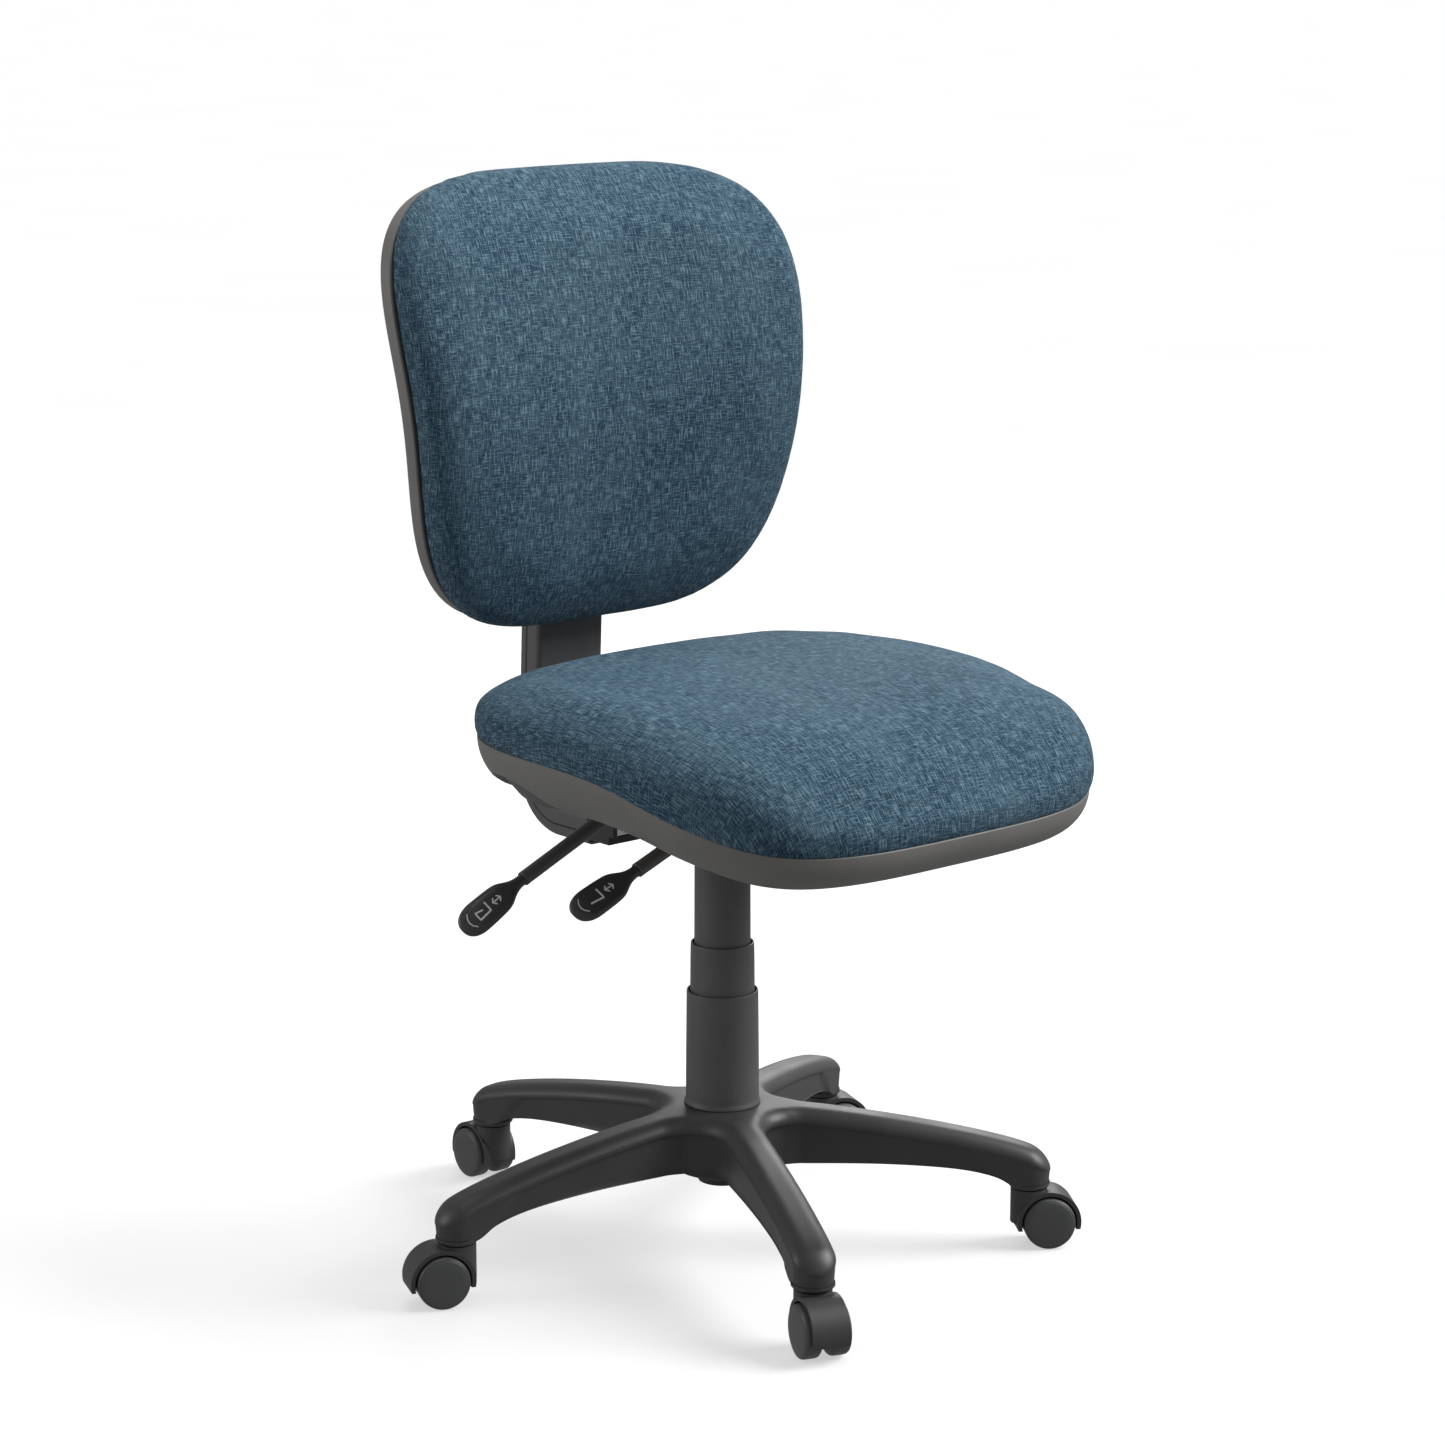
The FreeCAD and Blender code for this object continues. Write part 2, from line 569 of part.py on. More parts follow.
def lever_pin_span(lever_y):
    """Ends of a lever's pivot pin along Y."""
    return lever_y - 15.0, lever_y + 15.0


def lever_pin_holes(lever_y, lever_z):
    """Hole for a lever's pivot pin."""
    start, end = lever_pin_span(lever_y)
    return rod_y(LEVER_PIN_RADIUS, start, end, LEVER_PIVOT_X, lever_z)


def lever_brackets():
    """Lugs inside the tray's left wall that carry the levers' pivot pins."""
    lugs = []
    wall_x = -MECH_WIDTH / 2 + MECH_WALL - 0.5
    for lever_y, lever_z in ((HEIGHT_LEVER_Y, HEIGHT_LEVER_Z), (BACK_LEVER_Y, BACK_LEVER_Z)):
        for side in (-1, 1):
            near = lever_y + side * (LEVER_ROD_RADIUS + LUG_GAP)
            far = near + side * LUG_THICKNESS
            lug = box(wall_x, LEVER_PIVOT_X + LUG_REACH, min(near, far), max(near, far), lever_z - LUG_HALF, lever_z + LUG_HALF)
            lugs.append(lug.cut(lever_pin_holes(lever_y, lever_z)))
    return lugs


def taper_socket():
    """Tube through the tray's floor, reamed to the cylinder's taper."""
    outside = rod_z(TAPER_SOCKET_RADIUS, TAPER_SOCKET_BOTTOM, CYLINDER_TOP - 2)
    return outside.cut(gas_cylinder_outside())


def gas_cylinder_outside():
    """Outer form of the pressure cylinder."""
    return turned([(0, CYLINDER_BOTTOM), (CYLINDER_RADIUS, CYLINDER_BOTTOM),
                   (CYLINDER_RADIUS, CYLINDER_TOP - CYLINDER_CAP), (CYLINDER_TIP_RADIUS, CYLINDER_TOP),
                   (0, CYLINDER_TOP)])


def cheek_inside():
    """Distance of the back bar's cheeks from the chair's centre plane."""
    return MECH_WIDTH / 2 + BODY_GAP


def tilt_pivot_pin():
    """Headed pin that the back bar tilts on."""
    half = cheek_inside() + CHEEK_THICKNESS + BODY_GAP
    pin = rod_x(PIVOT_RADIUS, -half, half, PIVOT_Y, PIVOT_Z)
    heads = [rod_x(PIVOT_RADIUS + 3, half, half + PIVOT_HEAD, PIVOT_Y, PIVOT_Z),
             rod_x(PIVOT_RADIUS + 3, -half - PIVOT_HEAD, -half, PIVOT_Y, PIVOT_Z)]
    return fused([pin] + heads)


def return_springs():
    """Two close-wound torsion springs round the pivot pin, drawn as touching turns."""
    springs = []
    for hand in (-1, 1):
        turns = []
        for index in range(SPRING_COILS):
            offset = (index - (SPRING_COILS - 1) / 2) * SPRING_PITCH
            centre = Vector(hand * SPRING_HAND_X + offset, PIVOT_Y, PIVOT_Z)
            turns.append(Part.makeTorus(SPRING_COIL_RADIUS, SPRING_WIRE_RADIUS, centre, Vector(1, 0, 0)))
        springs.append(fused(turns))
    return Part.makeCompound(springs)


# ================================================================ levers
def lever_frame(shape, lever_y, lever_z, slope):
    """Place a lever built along +X from its pivot: turned to point at -X and down."""
    copy = shape.copy()
    copy.rotate(Vector(0, 0, 0), Vector(0, 1, 0), slope)
    copy.rotate(Vector(0, 0, 0), Vector(0, 0, 1), 180)
    copy.translate(Vector(LEVER_PIVOT_X, lever_y, lever_z))
    return copy


def lever_rod(length, lever_y, lever_z, slope):
    """Steel rod with a plastic sleeve, from the pivot to the paddle."""
    rod = rod_x(LEVER_ROD_RADIUS, -2, length + PADDLE_ROD_DEPTH, 0, 0)
    eye = rod_y(LEVER_ROD_RADIUS + 3, -LEVER_ROD_RADIUS - 1, LEVER_ROD_RADIUS + 1, 0, 0)
    sleeve_shape = rod_x(LEVER_SLEEVE_RADIUS, LEVER_SLEEVE_START, length - 2, 0, 0)
    outer = lever_frame(fused([rod, eye, sleeve_shape]), lever_y, lever_z, slope)
    return outer, rod_y(LEVER_PIN_RADIUS + RUNNING, lever_y - 20, lever_y + 20, LEVER_PIVOT_X, lever_z)


def height_lever_rod():
    """Height lever: an inner arm reaches over the gas lift's release pin."""
    outer, pin_hole = lever_rod(HEIGHT_LEVER_ROD, HEIGHT_LEVER_Y, HEIGHT_LEVER_Z, HEIGHT_LEVER_SLOPE)
    under = CYLINDER_TOP + RELEASE_PROUD + 0.3
    arm_x = LEVER_PIVOT_X + LEVER_ROD_RADIUS + 7
    root = box(LEVER_PIVOT_X, arm_x + TONGUE_WIDTH / 2, HEIGHT_LEVER_Y - LEVER_ROD_RADIUS,
               HEIGHT_LEVER_Y + LEVER_ROD_RADIUS, under, under + TONGUE_THICKNESS)
    cross = box(arm_x - TONGUE_WIDTH / 2, arm_x + TONGUE_WIDTH / 2, HEIGHT_LEVER_Y - LEVER_ROD_RADIUS,
                TONGUE_WIDTH / 2, under, under + TONGUE_THICKNESS)
    tongue = box(arm_x - TONGUE_WIDTH / 2, RELEASE_RADIUS / 2, -TONGUE_WIDTH / 2, TONGUE_WIDTH / 2, under,
                 under + TONGUE_THICKNESS)
    return fused([outer, root, cross, tongue]).cut(pin_hole)


def back_lever_rod():
    """Back lever: a short inner arm works the tilt lock."""
    outer, pin_hole = lever_rod(BACK_LEVER_ROD, BACK_LEVER_Y, BACK_LEVER_Z, BACK_LEVER_SLOPE)
    arm = box(LEVER_PIVOT_X, LEVER_PIVOT_X + 30, BACK_LEVER_Y - LEVER_ROD_RADIUS, BACK_LEVER_Y + LEVER_ROD_RADIUS,
              BACK_LEVER_Z - TONGUE_THICKNESS / 2, BACK_LEVER_Z + TONGUE_THICKNESS / 2)
    return fused([outer, arm]).cut(pin_hole)


def lever_paddle(length, lever_y, lever_z, slope):
    """Moulded grip: a round neck that widens to a flat paddle with a round end."""
    start = length
    body_start = start + PADDLE_NECK * 0.6
    body_end = start + PADDLE_NECK + PADDLE_LENGTH
    half = PADDLE_WIDTH / 2
    thick = PADDLE_THICKNESS / 2
    neck = rod_x(PADDLE_NECK_RADIUS, start, start + PADDLE_NECK + 4, 0, 0)
    outline = [Vector(body_start, -PADDLE_NECK_RADIUS, 0), Vector(start + PADDLE_NECK + PADDLE_SHOULDER, -half, 0),
               Vector(body_end - half, -half, 0)]
    nose = Part.Arc(outline[2], Vector(body_end, 0, 0), Vector(body_end - half, half, 0)).toShape()
    back = [Vector(body_end - half, half, 0), Vector(start + PADDLE_NECK + PADDLE_SHOULDER, half, 0),
            Vector(body_start, PADDLE_NECK_RADIUS, 0)]
    wire = Part.Wire([Part.makeLine(outline[0], outline[1]), Part.makeLine(outline[1], outline[2]), nose,
                      Part.makeLine(back[0], back[1]), Part.makeLine(back[1], back[2]),
                      Part.makeLine(back[2], outline[0])])
    blade = Part.Face(wire)
    blade.translate(Vector(0, 0, -thick))
    blade = blade.extrude(Vector(0, 0, PADDLE_THICKNESS))
    grip = fused([neck, blade]).cut(rod_x(LEVER_ROD_RADIUS, start - 1, start + PADDLE_ROD_DEPTH, 0, 0))
    grip.rotate(Vector(0, 0, 0), Vector(1, 0, 0), -PADDLE_ROLL)
    return lever_frame(grip, lever_y, lever_z, slope)


def lever_pins():
    """Pivot pins of both levers."""
    pins = []
    for lever_y, lever_z in ((HEIGHT_LEVER_Y, HEIGHT_LEVER_Z), (BACK_LEVER_Y, BACK_LEVER_Z)):
        pins.append(lever_pin_holes(lever_y, lever_z))
    return Part.makeCompound(pins)


# ================================================================ back upright
def lean(shape):
    """Place a shape built on a vertical upright with its corner at the origin."""
    copy = shape.copy()
    copy.rotate(Vector(0, 0, 0), Vector(1, 0, 0), UPRIGHT_LEAN)
    copy.translate(Vector(0, UPRIGHT_CORNER_Y, UPRIGHT_CORNER_Z))
    return copy


def bent_strip(start_y, length, width, front, rear):
    """Strip that runs back, round the elbow and up: between two offsets from its middle line.

    front and rear are offsets towards the inside (-) and the outside (+) of the bend.
    """
    turn = math.radians(90 + UPRIGHT_LEAN)
    reach = ELBOW_RADIUS * math.tan(turn / 2)
    up = Vector(0, -math.sin(math.radians(UPRIGHT_LEAN)), math.cos(math.radians(UPRIGHT_LEAN)))
    corner = Vector(0, UPRIGHT_CORNER_Y, UPRIGHT_CORNER_Z)
    back = Vector(0, 1, 0)
    tangent_low = corner - back * reach
    tangent_high = corner + up * reach
    centre = tangent_low + Vector(0, 0, ELBOW_RADIUS)
    to_corner = (corner - centre).normalize()
    out_high = (tangent_high - centre).normalize()
    start = Vector(0, start_y, UPRIGHT_CORNER_Z)
    end = corner + up * length

    def path(offset):
        """Corner points of the middle line shifted by an offset."""
        return (start + Vector(0, 0, -offset), tangent_low + Vector(0, 0, -offset),
                centre + to_corner * (ELBOW_RADIUS + offset), tangent_high + out_high * offset,
                end + out_high * offset)

    a = path(front)
    b = path(rear)
    wire = Part.Wire([Part.makeLine(a[0], a[1]), Part.Arc(a[1], a[2], a[3]).toShape(), Part.makeLine(a[3], a[4]),
                      Part.makeLine(a[4], b[4]), Part.makeLine(b[4], b[3]), Part.Arc(b[3], b[2], b[1]).toShape(),
                      Part.makeLine(b[1], b[0]), Part.makeLine(b[0], a[0])])
    face = Part.Face(wire)
    face.translate(Vector(-width / 2, 0, 0))
    return face.extrude(Vector(width, 0, 0))


def j_bar():
    """Bent steel bar with two cheeks that reach up to the tilt pivot."""
    half = BAR_THICKNESS / 2
    bar = bent_strip(BAR_START, UPRIGHT_LENGTH - 8, BAR_WIDTH, -half, half)
    inside = cheek_inside()
    outside = inside + CHEEK_THICKNESS
    low = UPRIGHT_CORNER_Z - half
    yoke = box(-outside, outside, BAR_START, BAR_START + YOKE_LENGTH, low, low + BAR_THICKNESS)
    pieces = [bar, yoke]
    for side in (-1, 1):
        x0, x1 = sorted((side * inside, side * outside))
        plate = box(x0, x1, BAR_START, BAR_START + YOKE_LENGTH, low, PIVOT_Z)
        boss = rod_x(CHEEK_RADIUS, x0, x1, PIVOT_Y, PIVOT_Z)
        gusset = box(x0, x1, PIVOT_Y, BAR_START + GUSSET_REACH, low + BAR_THICKNESS, PIVOT_Z)
        pieces += [plate, boss, gusset]
    shape = fused(pieces)
    return shape.cut(rod_x(PIVOT_RADIUS + RUNNING, -outside - 1, outside + 1, PIVOT_Y, PIVOT_Z))


def upright_cover(front_half):
    """One half of the plastic cover round the back bar."""
    depth = UPRIGHT_COVER_DEPTH / 2
    wall = UPRIGHT_COVER_WALL
    width = UPRIGHT_COVER_WIDTH
    low, high = (-depth, UPRIGHT_COVER_JOINT) if front_half else (UPRIGHT_COVER_JOINT, depth)
    skin = bent_strip(UPRIGHT_COVER_START, UPRIGHT_LENGTH, width, low, high)
    inner_low = low + wall if front_half else low - 1
    inner_high = high + 1 if front_half else high - wall
    inside = bent_strip(UPRIGHT_COVER_START - 1, UPRIGHT_LENGTH - wall, width - 2 * wall, inner_low, inner_high)
    return skin.cut(inside)


# ================================================================ seat
def seat_outline(inset, height):
    """Seat plan: a superellipse, drawn in by an inset, at a height."""
    half_x = SEAT_WIDTH / 2 - inset
    half_y = SEAT_DEPTH / 2 - inset
    exponent = 2 / SEAT_SQUARENESS
    points = []
    for index in range(40):
        angle = 2 * math.pi * index / 40
        x = half_x * rounded_power(math.cos(angle), exponent)
        y = SEAT_MIDDLE_Y + half_y * rounded_power(math.sin(angle), exponent)
        points.append(Vector(x, y, height))
    return closed_curve(points)


def seat_prism(inset, low, high):
    """Upright prism on the seat plan."""
    return Part.Face(seat_outline(inset, low)).extrude(Vector(0, 0, high - low))


def side_solid(rows, floor):
    """Solid below a height curve given as (y, z) points, over the seat's whole width."""
    reach = SEAT_WIDTH / 2 + 20
    points = [Vector(-reach, y, z) for y, z in rows]
    first, last = points[0], points[-1]
    edges = [open_curve(points), Part.makeLine(last, Vector(-reach, last.y, floor)),
             Part.makeLine(Vector(-reach, last.y, floor), Vector(-reach, first.y, floor)),
             Part.makeLine(Vector(-reach, first.y, floor), first)]
    return Part.Face(Part.Wire(edges)).extrude(Vector(2 * reach, 0, 0))


def seat_front():
    """Foremost point of the seat plan."""
    return SEAT_MIDDLE_Y - SEAT_DEPTH / 2


def seat_rear():
    """Rearmost point of the seat plan."""
    return SEAT_MIDDLE_Y + SEAT_DEPTH / 2


def seam_rows(rear_drop=0.0, front_drop=0.0):
    """Seam between fabric and shell: level behind, dropping to the front edge."""
    fall = SEAM_REAR - SEAM_FRONT
    shape = ((-0.06, 1.0), (0.04, 0.97), (0.12, 0.82), (0.20, 0.60), (0.28, 0.40), (0.36, 0.20), (0.46, 0.05),
             (0.58, 0.0), (0.75, 0.0), (0.9, 0.0), (1.06, 0.0))
    rows = []
    for share, part in shape:
        drop = rear_drop + (front_drop - rear_drop) * part
        rows.append((seat_front() + SEAT_DEPTH * share, SEAM_REAR - fall * part - drop))
    return rows


def seat_top_rows(drop=0.0):
    """Cushion's top line from the nose to the rear."""
    front = seat_front()
    return [(front - 30, SEAT_NOSE - 40 - drop), (front, SEAT_NOSE - drop), (front + 36, SEAT_TOP_FRONT - drop),
            (front + 0.24 * SEAT_DEPTH, SEAT_TOP - 9 - drop), (front + 0.5 * SEAT_DEPTH, SEAT_TOP - drop),
            (front + 0.8 * SEAT_DEPTH, SEAT_TOP - 1 - drop), (seat_rear(), SEAT_TOP - 7 - drop),
            (seat_rear() + 30, SEAT_TOP - 12 - drop)]


def seat_cushion():
    """Foam and fabric cushion over the board, tucked into the shell's rim."""
    low = SEAM_FRONT - SHELL_DEPTH_FRONT - 10
    above_seam = seat_prism(0, low, SEAT_TOP + 20).cut(side_solid(seam_rows(), low - 20))
    top_full = side_solid(seat_top_rows(SEAT_CUSHION_EDGE), low - 20)
    top_inset = seat_prism(SEAT_CUSHION_EDGE, low, SEAT_TOP + 20).cut(side_solid(seam_rows(), low - 20))
    body = fused([above_seam.common(top_full), top_inset.common(side_solid(seat_top_rows(), low - 20))])
    plug = shell_form(SHELL_WALL + BODY_GAP, SHELL_WALL + BODY_GAP).common(side_solid(seam_rows(-3, -3), low - 20))
    whole = fused([body, plug])
    return whole.cut(board_pocket())


def board_pocket():
    """Space that the cushion leaves free for the board and everything under it."""
    wide = seat_prism(SEAT_BOARD_INSET - BODY_GAP, SEAT_BOARD_BOTTOM - 80,
                      SEAT_BOARD_BOTTOM + SEAT_BOARD_THICKNESS + BODY_GAP)
    ahead = box(-SEAT_WIDTH, SEAT_WIDTH, seat_front() - 50, SEAT_BOARD_FRONT - BODY_GAP, 300, 700)
    under = seat_prism(0, 300, SEAT_BOARD_BOTTOM).cut(ahead)
    return wide.cut(ahead).fuse(under)


def seat_board():
    """Flat plywood board with bolt holes for the mechanism and inserts for armrests."""
    board = seat_prism(SEAT_BOARD_INSET, SEAT_BOARD_BOTTOM, SEAT_BOARD_BOTTOM + SEAT_BOARD_THICKNESS)
    ahead = box(-SEAT_WIDTH, SEAT_WIDTH, seat_front() - 50, SEAT_BOARD_FRONT, 300, 700)
    board = board.cut(ahead)
    for x, y in seat_bolt_places():
        board = board.cut(rod_z(SEAT_BOLT_RADIUS, SEAT_BOARD_BOTTOM - 1, SEAT_BOARD_BOTTOM + 20, x, y))
    for x, y in arm_bolt_places():
        board = board.cut(rod_z(ARM_BOLT_RADIUS, SEAT_BOARD_BOTTOM - 1, SEAT_BOARD_BOTTOM + 20, x, y))
    return board


def arm_bolt_places():
    """Centres of the armrest inserts in the seat board."""
    return [(side * ARM_BOLT_X, y) for side in (-1, 1) for y in ARM_BOLT_Y]


def shell_form(extra_inset, lift):
    """Outer or inner form of the seat shell, drawing in towards its floor."""
    top = SEAM_REAR + 5
    floor = SEAM_FRONT - SHELL_DEPTH_FRONT - 5
    loft = Part.makeLoft([seat_outline(extra_inset, top),
                          seat_outline(extra_inset + SHELL_TAPER * (top - floor) / SHELL_DEPTH_REAR, floor)], True)
    below = side_solid(seam_rows(SHELL_DEPTH_REAR - lift, SHELL_DEPTH_FRONT - lift), floor - 40)
    return loft.cut(below)


def seat_shell():
    """Moulded under-shell: a rim up to the seam and a floor with an opening for the mechanism."""
    outer = shell_form(0, 0).common(side_solid(seam_rows(), 300))
    inner = shell_form(SHELL_WALL, SHELL_WALL)
    shape = outer.cut(inner)
    half = MECH_WIDTH / 2 + MECH_FLANGE + SHELL_OPENING_MARGIN
    opening = box(-half, half, MECH_FRONT - SHELL_OPENING_MARGIN, MECH_REAR + SHELL_OPENING_MARGIN, 300, SEAM_REAR - 20)
    shape = shape.cut(opening)
    radius = (LEVER_RECESS_REAR - LEVER_RECESS_FRONT) / 2
    recess_z = SEAM_REAR - SHELL_DEPTH_REAR + LEVER_RECESS_RISE - radius
    for side in (-1, 1):
        x0, x1 = sorted((side * (SEAT_WIDTH / 2 + 5), side * (SEAT_WIDTH / 2 - LEVER_RECESS_WIDTH)))
        shape = shape.cut(rod_x(radius, x0, x1, (LEVER_RECESS_REAR + LEVER_RECESS_FRONT) / 2, recess_z))
    for x, y in arm_bolt_places():
        shape = shape.cut(rod_z(ARM_ACCESS_RADIUS, SEAM_REAR - SHELL_DEPTH_REAR - 10, SEAT_BOARD_BOTTOM, x, y))
    return shape


def seat_bolts():
    """Four bolts up through the mechanism's flanges into the seat board."""
    bolts = []
    under = SEAT_BOARD_BOTTOM - MECH_WALL
    for x, y in seat_bolt_places():
        shank = rod_z(SEAT_BOLT_RADIUS, under, SEAT_BOARD_BOTTOM + SEAT_BOARD_THICKNESS - 1, x, y)
        head = rod_z(SEAT_BOLT_HEAD_RADIUS, under - SEAT_BOLT_HEAD, under, x, y)
        bolts.append(fused([head, shank]))
    return Part.makeCompound(bolts)


# ================================================================ backrest
def back_outline(inset, y):
    """Backrest's front view: a superellipse that widens towards the top."""
    exponent = 2 / BACK_SQUARENESS
    points = []
    for index in range(44):
        angle = 2 * math.pi * index / 44
        share = rounded_power(math.sin(angle), exponent)
        half = BACK_HALF_WIDTH + BACK_WIDENING * share - inset
        x = half * rounded_power(math.cos(angle), exponent)
        points.append(Vector(x, y, BACK_MIDDLE_Z + (BACK_HALF_HEIGHT - inset) * share))
    return closed_curve(points)


def back_prism(inset):
    """Prism through the backrest's front view."""
    return Part.Face(back_outline(inset, 0)).extrude(Vector(0, 400, 0))


def back_sheet(shift):
    """Curved sheet of the backrest: its side profile, wrapped forward at the edges."""
    reach = BACK_HALF_WIDTH + BACK_WIDENING + 20
    columns = []
    for step in range(-4, 5):
        x = reach * step / 4
        wrap = BACK_WRAP * (1 - (x / BACK_HALF_WIDTH) ** 2)
        columns.append([Vector(x, depth + wrap + shift, height) for height, depth in BACK_PROFILE])
    surface = Part.BSplineSurface()
    surface.interpolate(columns)
    return surface.toShape()


def back_slab(inset, front, rear):
    """Part of the backrest between two depths behind the seam surface."""
    slab = back_sheet(front).extrude(Vector(0, rear - front, 0))
    return slab.common(back_prism(inset))


def back_cushion():
    """Foam and fabric pad on the front of the back board."""
    thick = back_slab(0, -BACK_CUSHION_THICKNESS + BACK_CUSHION_EDGE, 0)
    crown = back_slab(BACK_CUSHION_EDGE, -BACK_CUSHION_THICKNESS, -BACK_CUSHION_THICKNESS + BACK_CUSHION_EDGE + 1)
    return fused([thick, crown])


def back_board():
    """Moulded plywood board behind the pad."""
    board = back_slab(BACK_BOARD_INSET, 0, BACK_BOARD_THICKNESS)
    for hole in back_screw_rods(BACK_SCREW_RADIUS, -60, 20):
        board = board.cut(hole)
    return board


def back_screw_rods(radius, start, end):
    """Round bars at the four screw positions, in the upright's own direction."""
    middle = CARRIAGE_START + CARRIAGE_LENGTH / 2
    rods = []
    for sx in (-1, 1):
        for sz in (-1, 1):
            rods.append(lean(rod_y(radius, start, end, sx * BACK_SCREW_X, middle + sz * BACK_SCREW_Z)))
    return rods


def carriage_front():
    """Front face of the carriage in the upright's own direction."""
    return -UPRIGHT_COVER_DEPTH / 2 - SLIDING - CARRIAGE_WALL


def back_housing(grow):
    """Raised housing on the back shell round the carriage, grown by an amount."""
    half_x = UPRIGHT_COVER_WIDTH / 2 + SLIDING + CARRIAGE_WALL + BODY_GAP + grow
    rear = UPRIGHT_COVER_DEPTH / 2 + SLIDING + CARRIAGE_WALL + BODY_GAP + grow
    start = HOUSING_START if grow else 0
    shape = box(-half_x, half_x, -70, rear, start, HOUSING_END + grow)
    if grow:
        edges = [edge for edge in shape.Edges if edge.BoundBox.YMin > rear - 1 and edge.BoundBox.ZMax > HOUSING_START + 1]
        shape = shape.makeFillet(HOUSING_EDGE, edges)
    return lean(shape)


def back_shell():
    """Moulded rear shell with a rim round the board and a housing for the carriage."""
    rim = BACK_SHELL_DEPTH
    skin = back_slab(0, 0.5, rim)
    hollow = back_slab(BACK_SHELL_WALL, 0, rim - BACK_SHELL_WALL)
    behind = back_sheet(rim - BACK_SHELL_WALL).extrude(Vector(0, 120, 0))
    bump = back_housing(HOUSING_WALL).common(behind)
    shape = fused([skin.cut(hollow), bump])
    return shape.cut(back_housing(0).common(back_sheet(2).extrude(Vector(0, 200, 0))))


def back_carriage():
    """Nylon carriage that slides on the upright and carries the back board."""
    half_x = UPRIGHT_COVER_WIDTH / 2 + SLIDING
    half_y = UPRIGHT_COVER_DEPTH / 2 + SLIDING
    end = CARRIAGE_START + CARRIAGE_LENGTH
    outside = box(-half_x - CARRIAGE_WALL, half_x + CARRIAGE_WALL, carriage_front(), half_y + CARRIAGE_WALL,
                  CARRIAGE_START, end)
    inside = box(-half_x, half_x, -half_y, half_y, CARRIAGE_START - 1, end + 1)
    pads = box(-half_x - CARRIAGE_WALL, half_x + CARRIAGE_WALL, -60, carriage_front() + 1, CARRIAGE_START, end)
    shape = fused([lean(outside.cut(inside)), lean(pads).common(back_sheet(BACK_BOARD_THICKNESS)
                                                                .extrude(Vector(0, 60, 0)))])
    for hole in back_screw_rods(BACK_SCREW_RADIUS, -60, -half_y - 1.5):
        shape = shape.cut(hole)
    return shape


def back_screws():
    """Four screws from the board into the carriage."""
    reach = back_sheet(1.0).extrude(Vector(0, 60, 0))
    return Part.makeCompound([rod.common(reach) for rod in back_screw_rods(BACK_SCREW_RADIUS, -60,
                                                                            -UPRIGHT_COVER_DEPTH / 2 - 2)])


# ================================================================ output
def build():
    """All nodes by name."""
    nodes = {
        "star_base": star_base(),
        "gas_lift_outer_tube": outer_tube(),
        "guide_bush": guide_bush(),
        "thrust_bearing": thrust_bearing(),
        "piston_rod": piston_rod(),
        "rod_clip": rod_clip(),
        "gas_cylinder": gas_cylinder(),
        "release_pin": release_pin(),
        "column_cover_lower": column_cover_lower(),
        "column_cover_middle": column_cover_middle(),
        "column_cover_upper": column_cover_upper(),
        "mechanism_housing": mechanism_housing(),
        "taper_socket": taper_socket(),
        "tilt_pivot_pin": tilt_pivot_pin(),
        "return_springs": return_springs(),
        "lever_pins": lever_pins(),
        "height_lever_rod": height_lever_rod(),
        "height_lever_paddle": lever_paddle(HEIGHT_LEVER_ROD, HEIGHT_LEVER_Y, HEIGHT_LEVER_Z, HEIGHT_LEVER_SLOPE),
        "back_lever_rod": back_lever_rod(),
        "back_lever_paddle": lever_paddle(BACK_LEVER_ROD, BACK_LEVER_Y, BACK_LEVER_Z, BACK_LEVER_SLOPE),
        "j_bar": j_bar(),
        "upright_cover_front": upright_cover(True),
        "upright_cover_rear": upright_cover(False),
        "seat_cushion": seat_cushion(),
        "seat_board": seat_board(),
        "seat_shell": seat_shell(),
        "seat_bolts": seat_bolts(),
        "back_cushion": back_cushion(),
        "back_board": back_board(),
        "back_shell": back_shell(),
        "back_carriage": back_carriage(),
        "back_screws": back_screws(),
    }
    pieces = {"hood": castor_hood(), "stem": castor_stem(), "axle": castor_axle(),
              "wheel_left": castor_wheel(1), "wheel_right": castor_wheel(-1)}
    for index, place, turn in castor_places():
        for name, shape in pieces.items():
            nodes["castor_%d_%s" % (index, name)] = moved(shape, place, turn)
    return nodes


def main():
    """Write one STEP file per node."""
    os.makedirs("parts", exist_ok=True)
    for name, shape in build().items():
        shape.exportStep("parts/%s.step" % name)
        bounds = shape.BoundBox
        print("%-24s solids %d valid %s  vol %.1f cm3  z %.1f..%.1f" % (
            name, len(shape.Solids), shape.isValid(), shape.Volume / 1000, bounds.ZMin, bounds.ZMax))


main()
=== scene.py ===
"""Looks of a swivel office chair: upholstered seat and back, moulded shells, height and tilt levers,
telescopic column covers and a five-legged base on twin-wheel castors."""

import logging
import math
from dataclasses import dataclass, field
from enum import Enum
from typing import Any, Callable, Sequence

import bmesh
import bpy
import numpy as np
from mathutils import Matrix, Vector


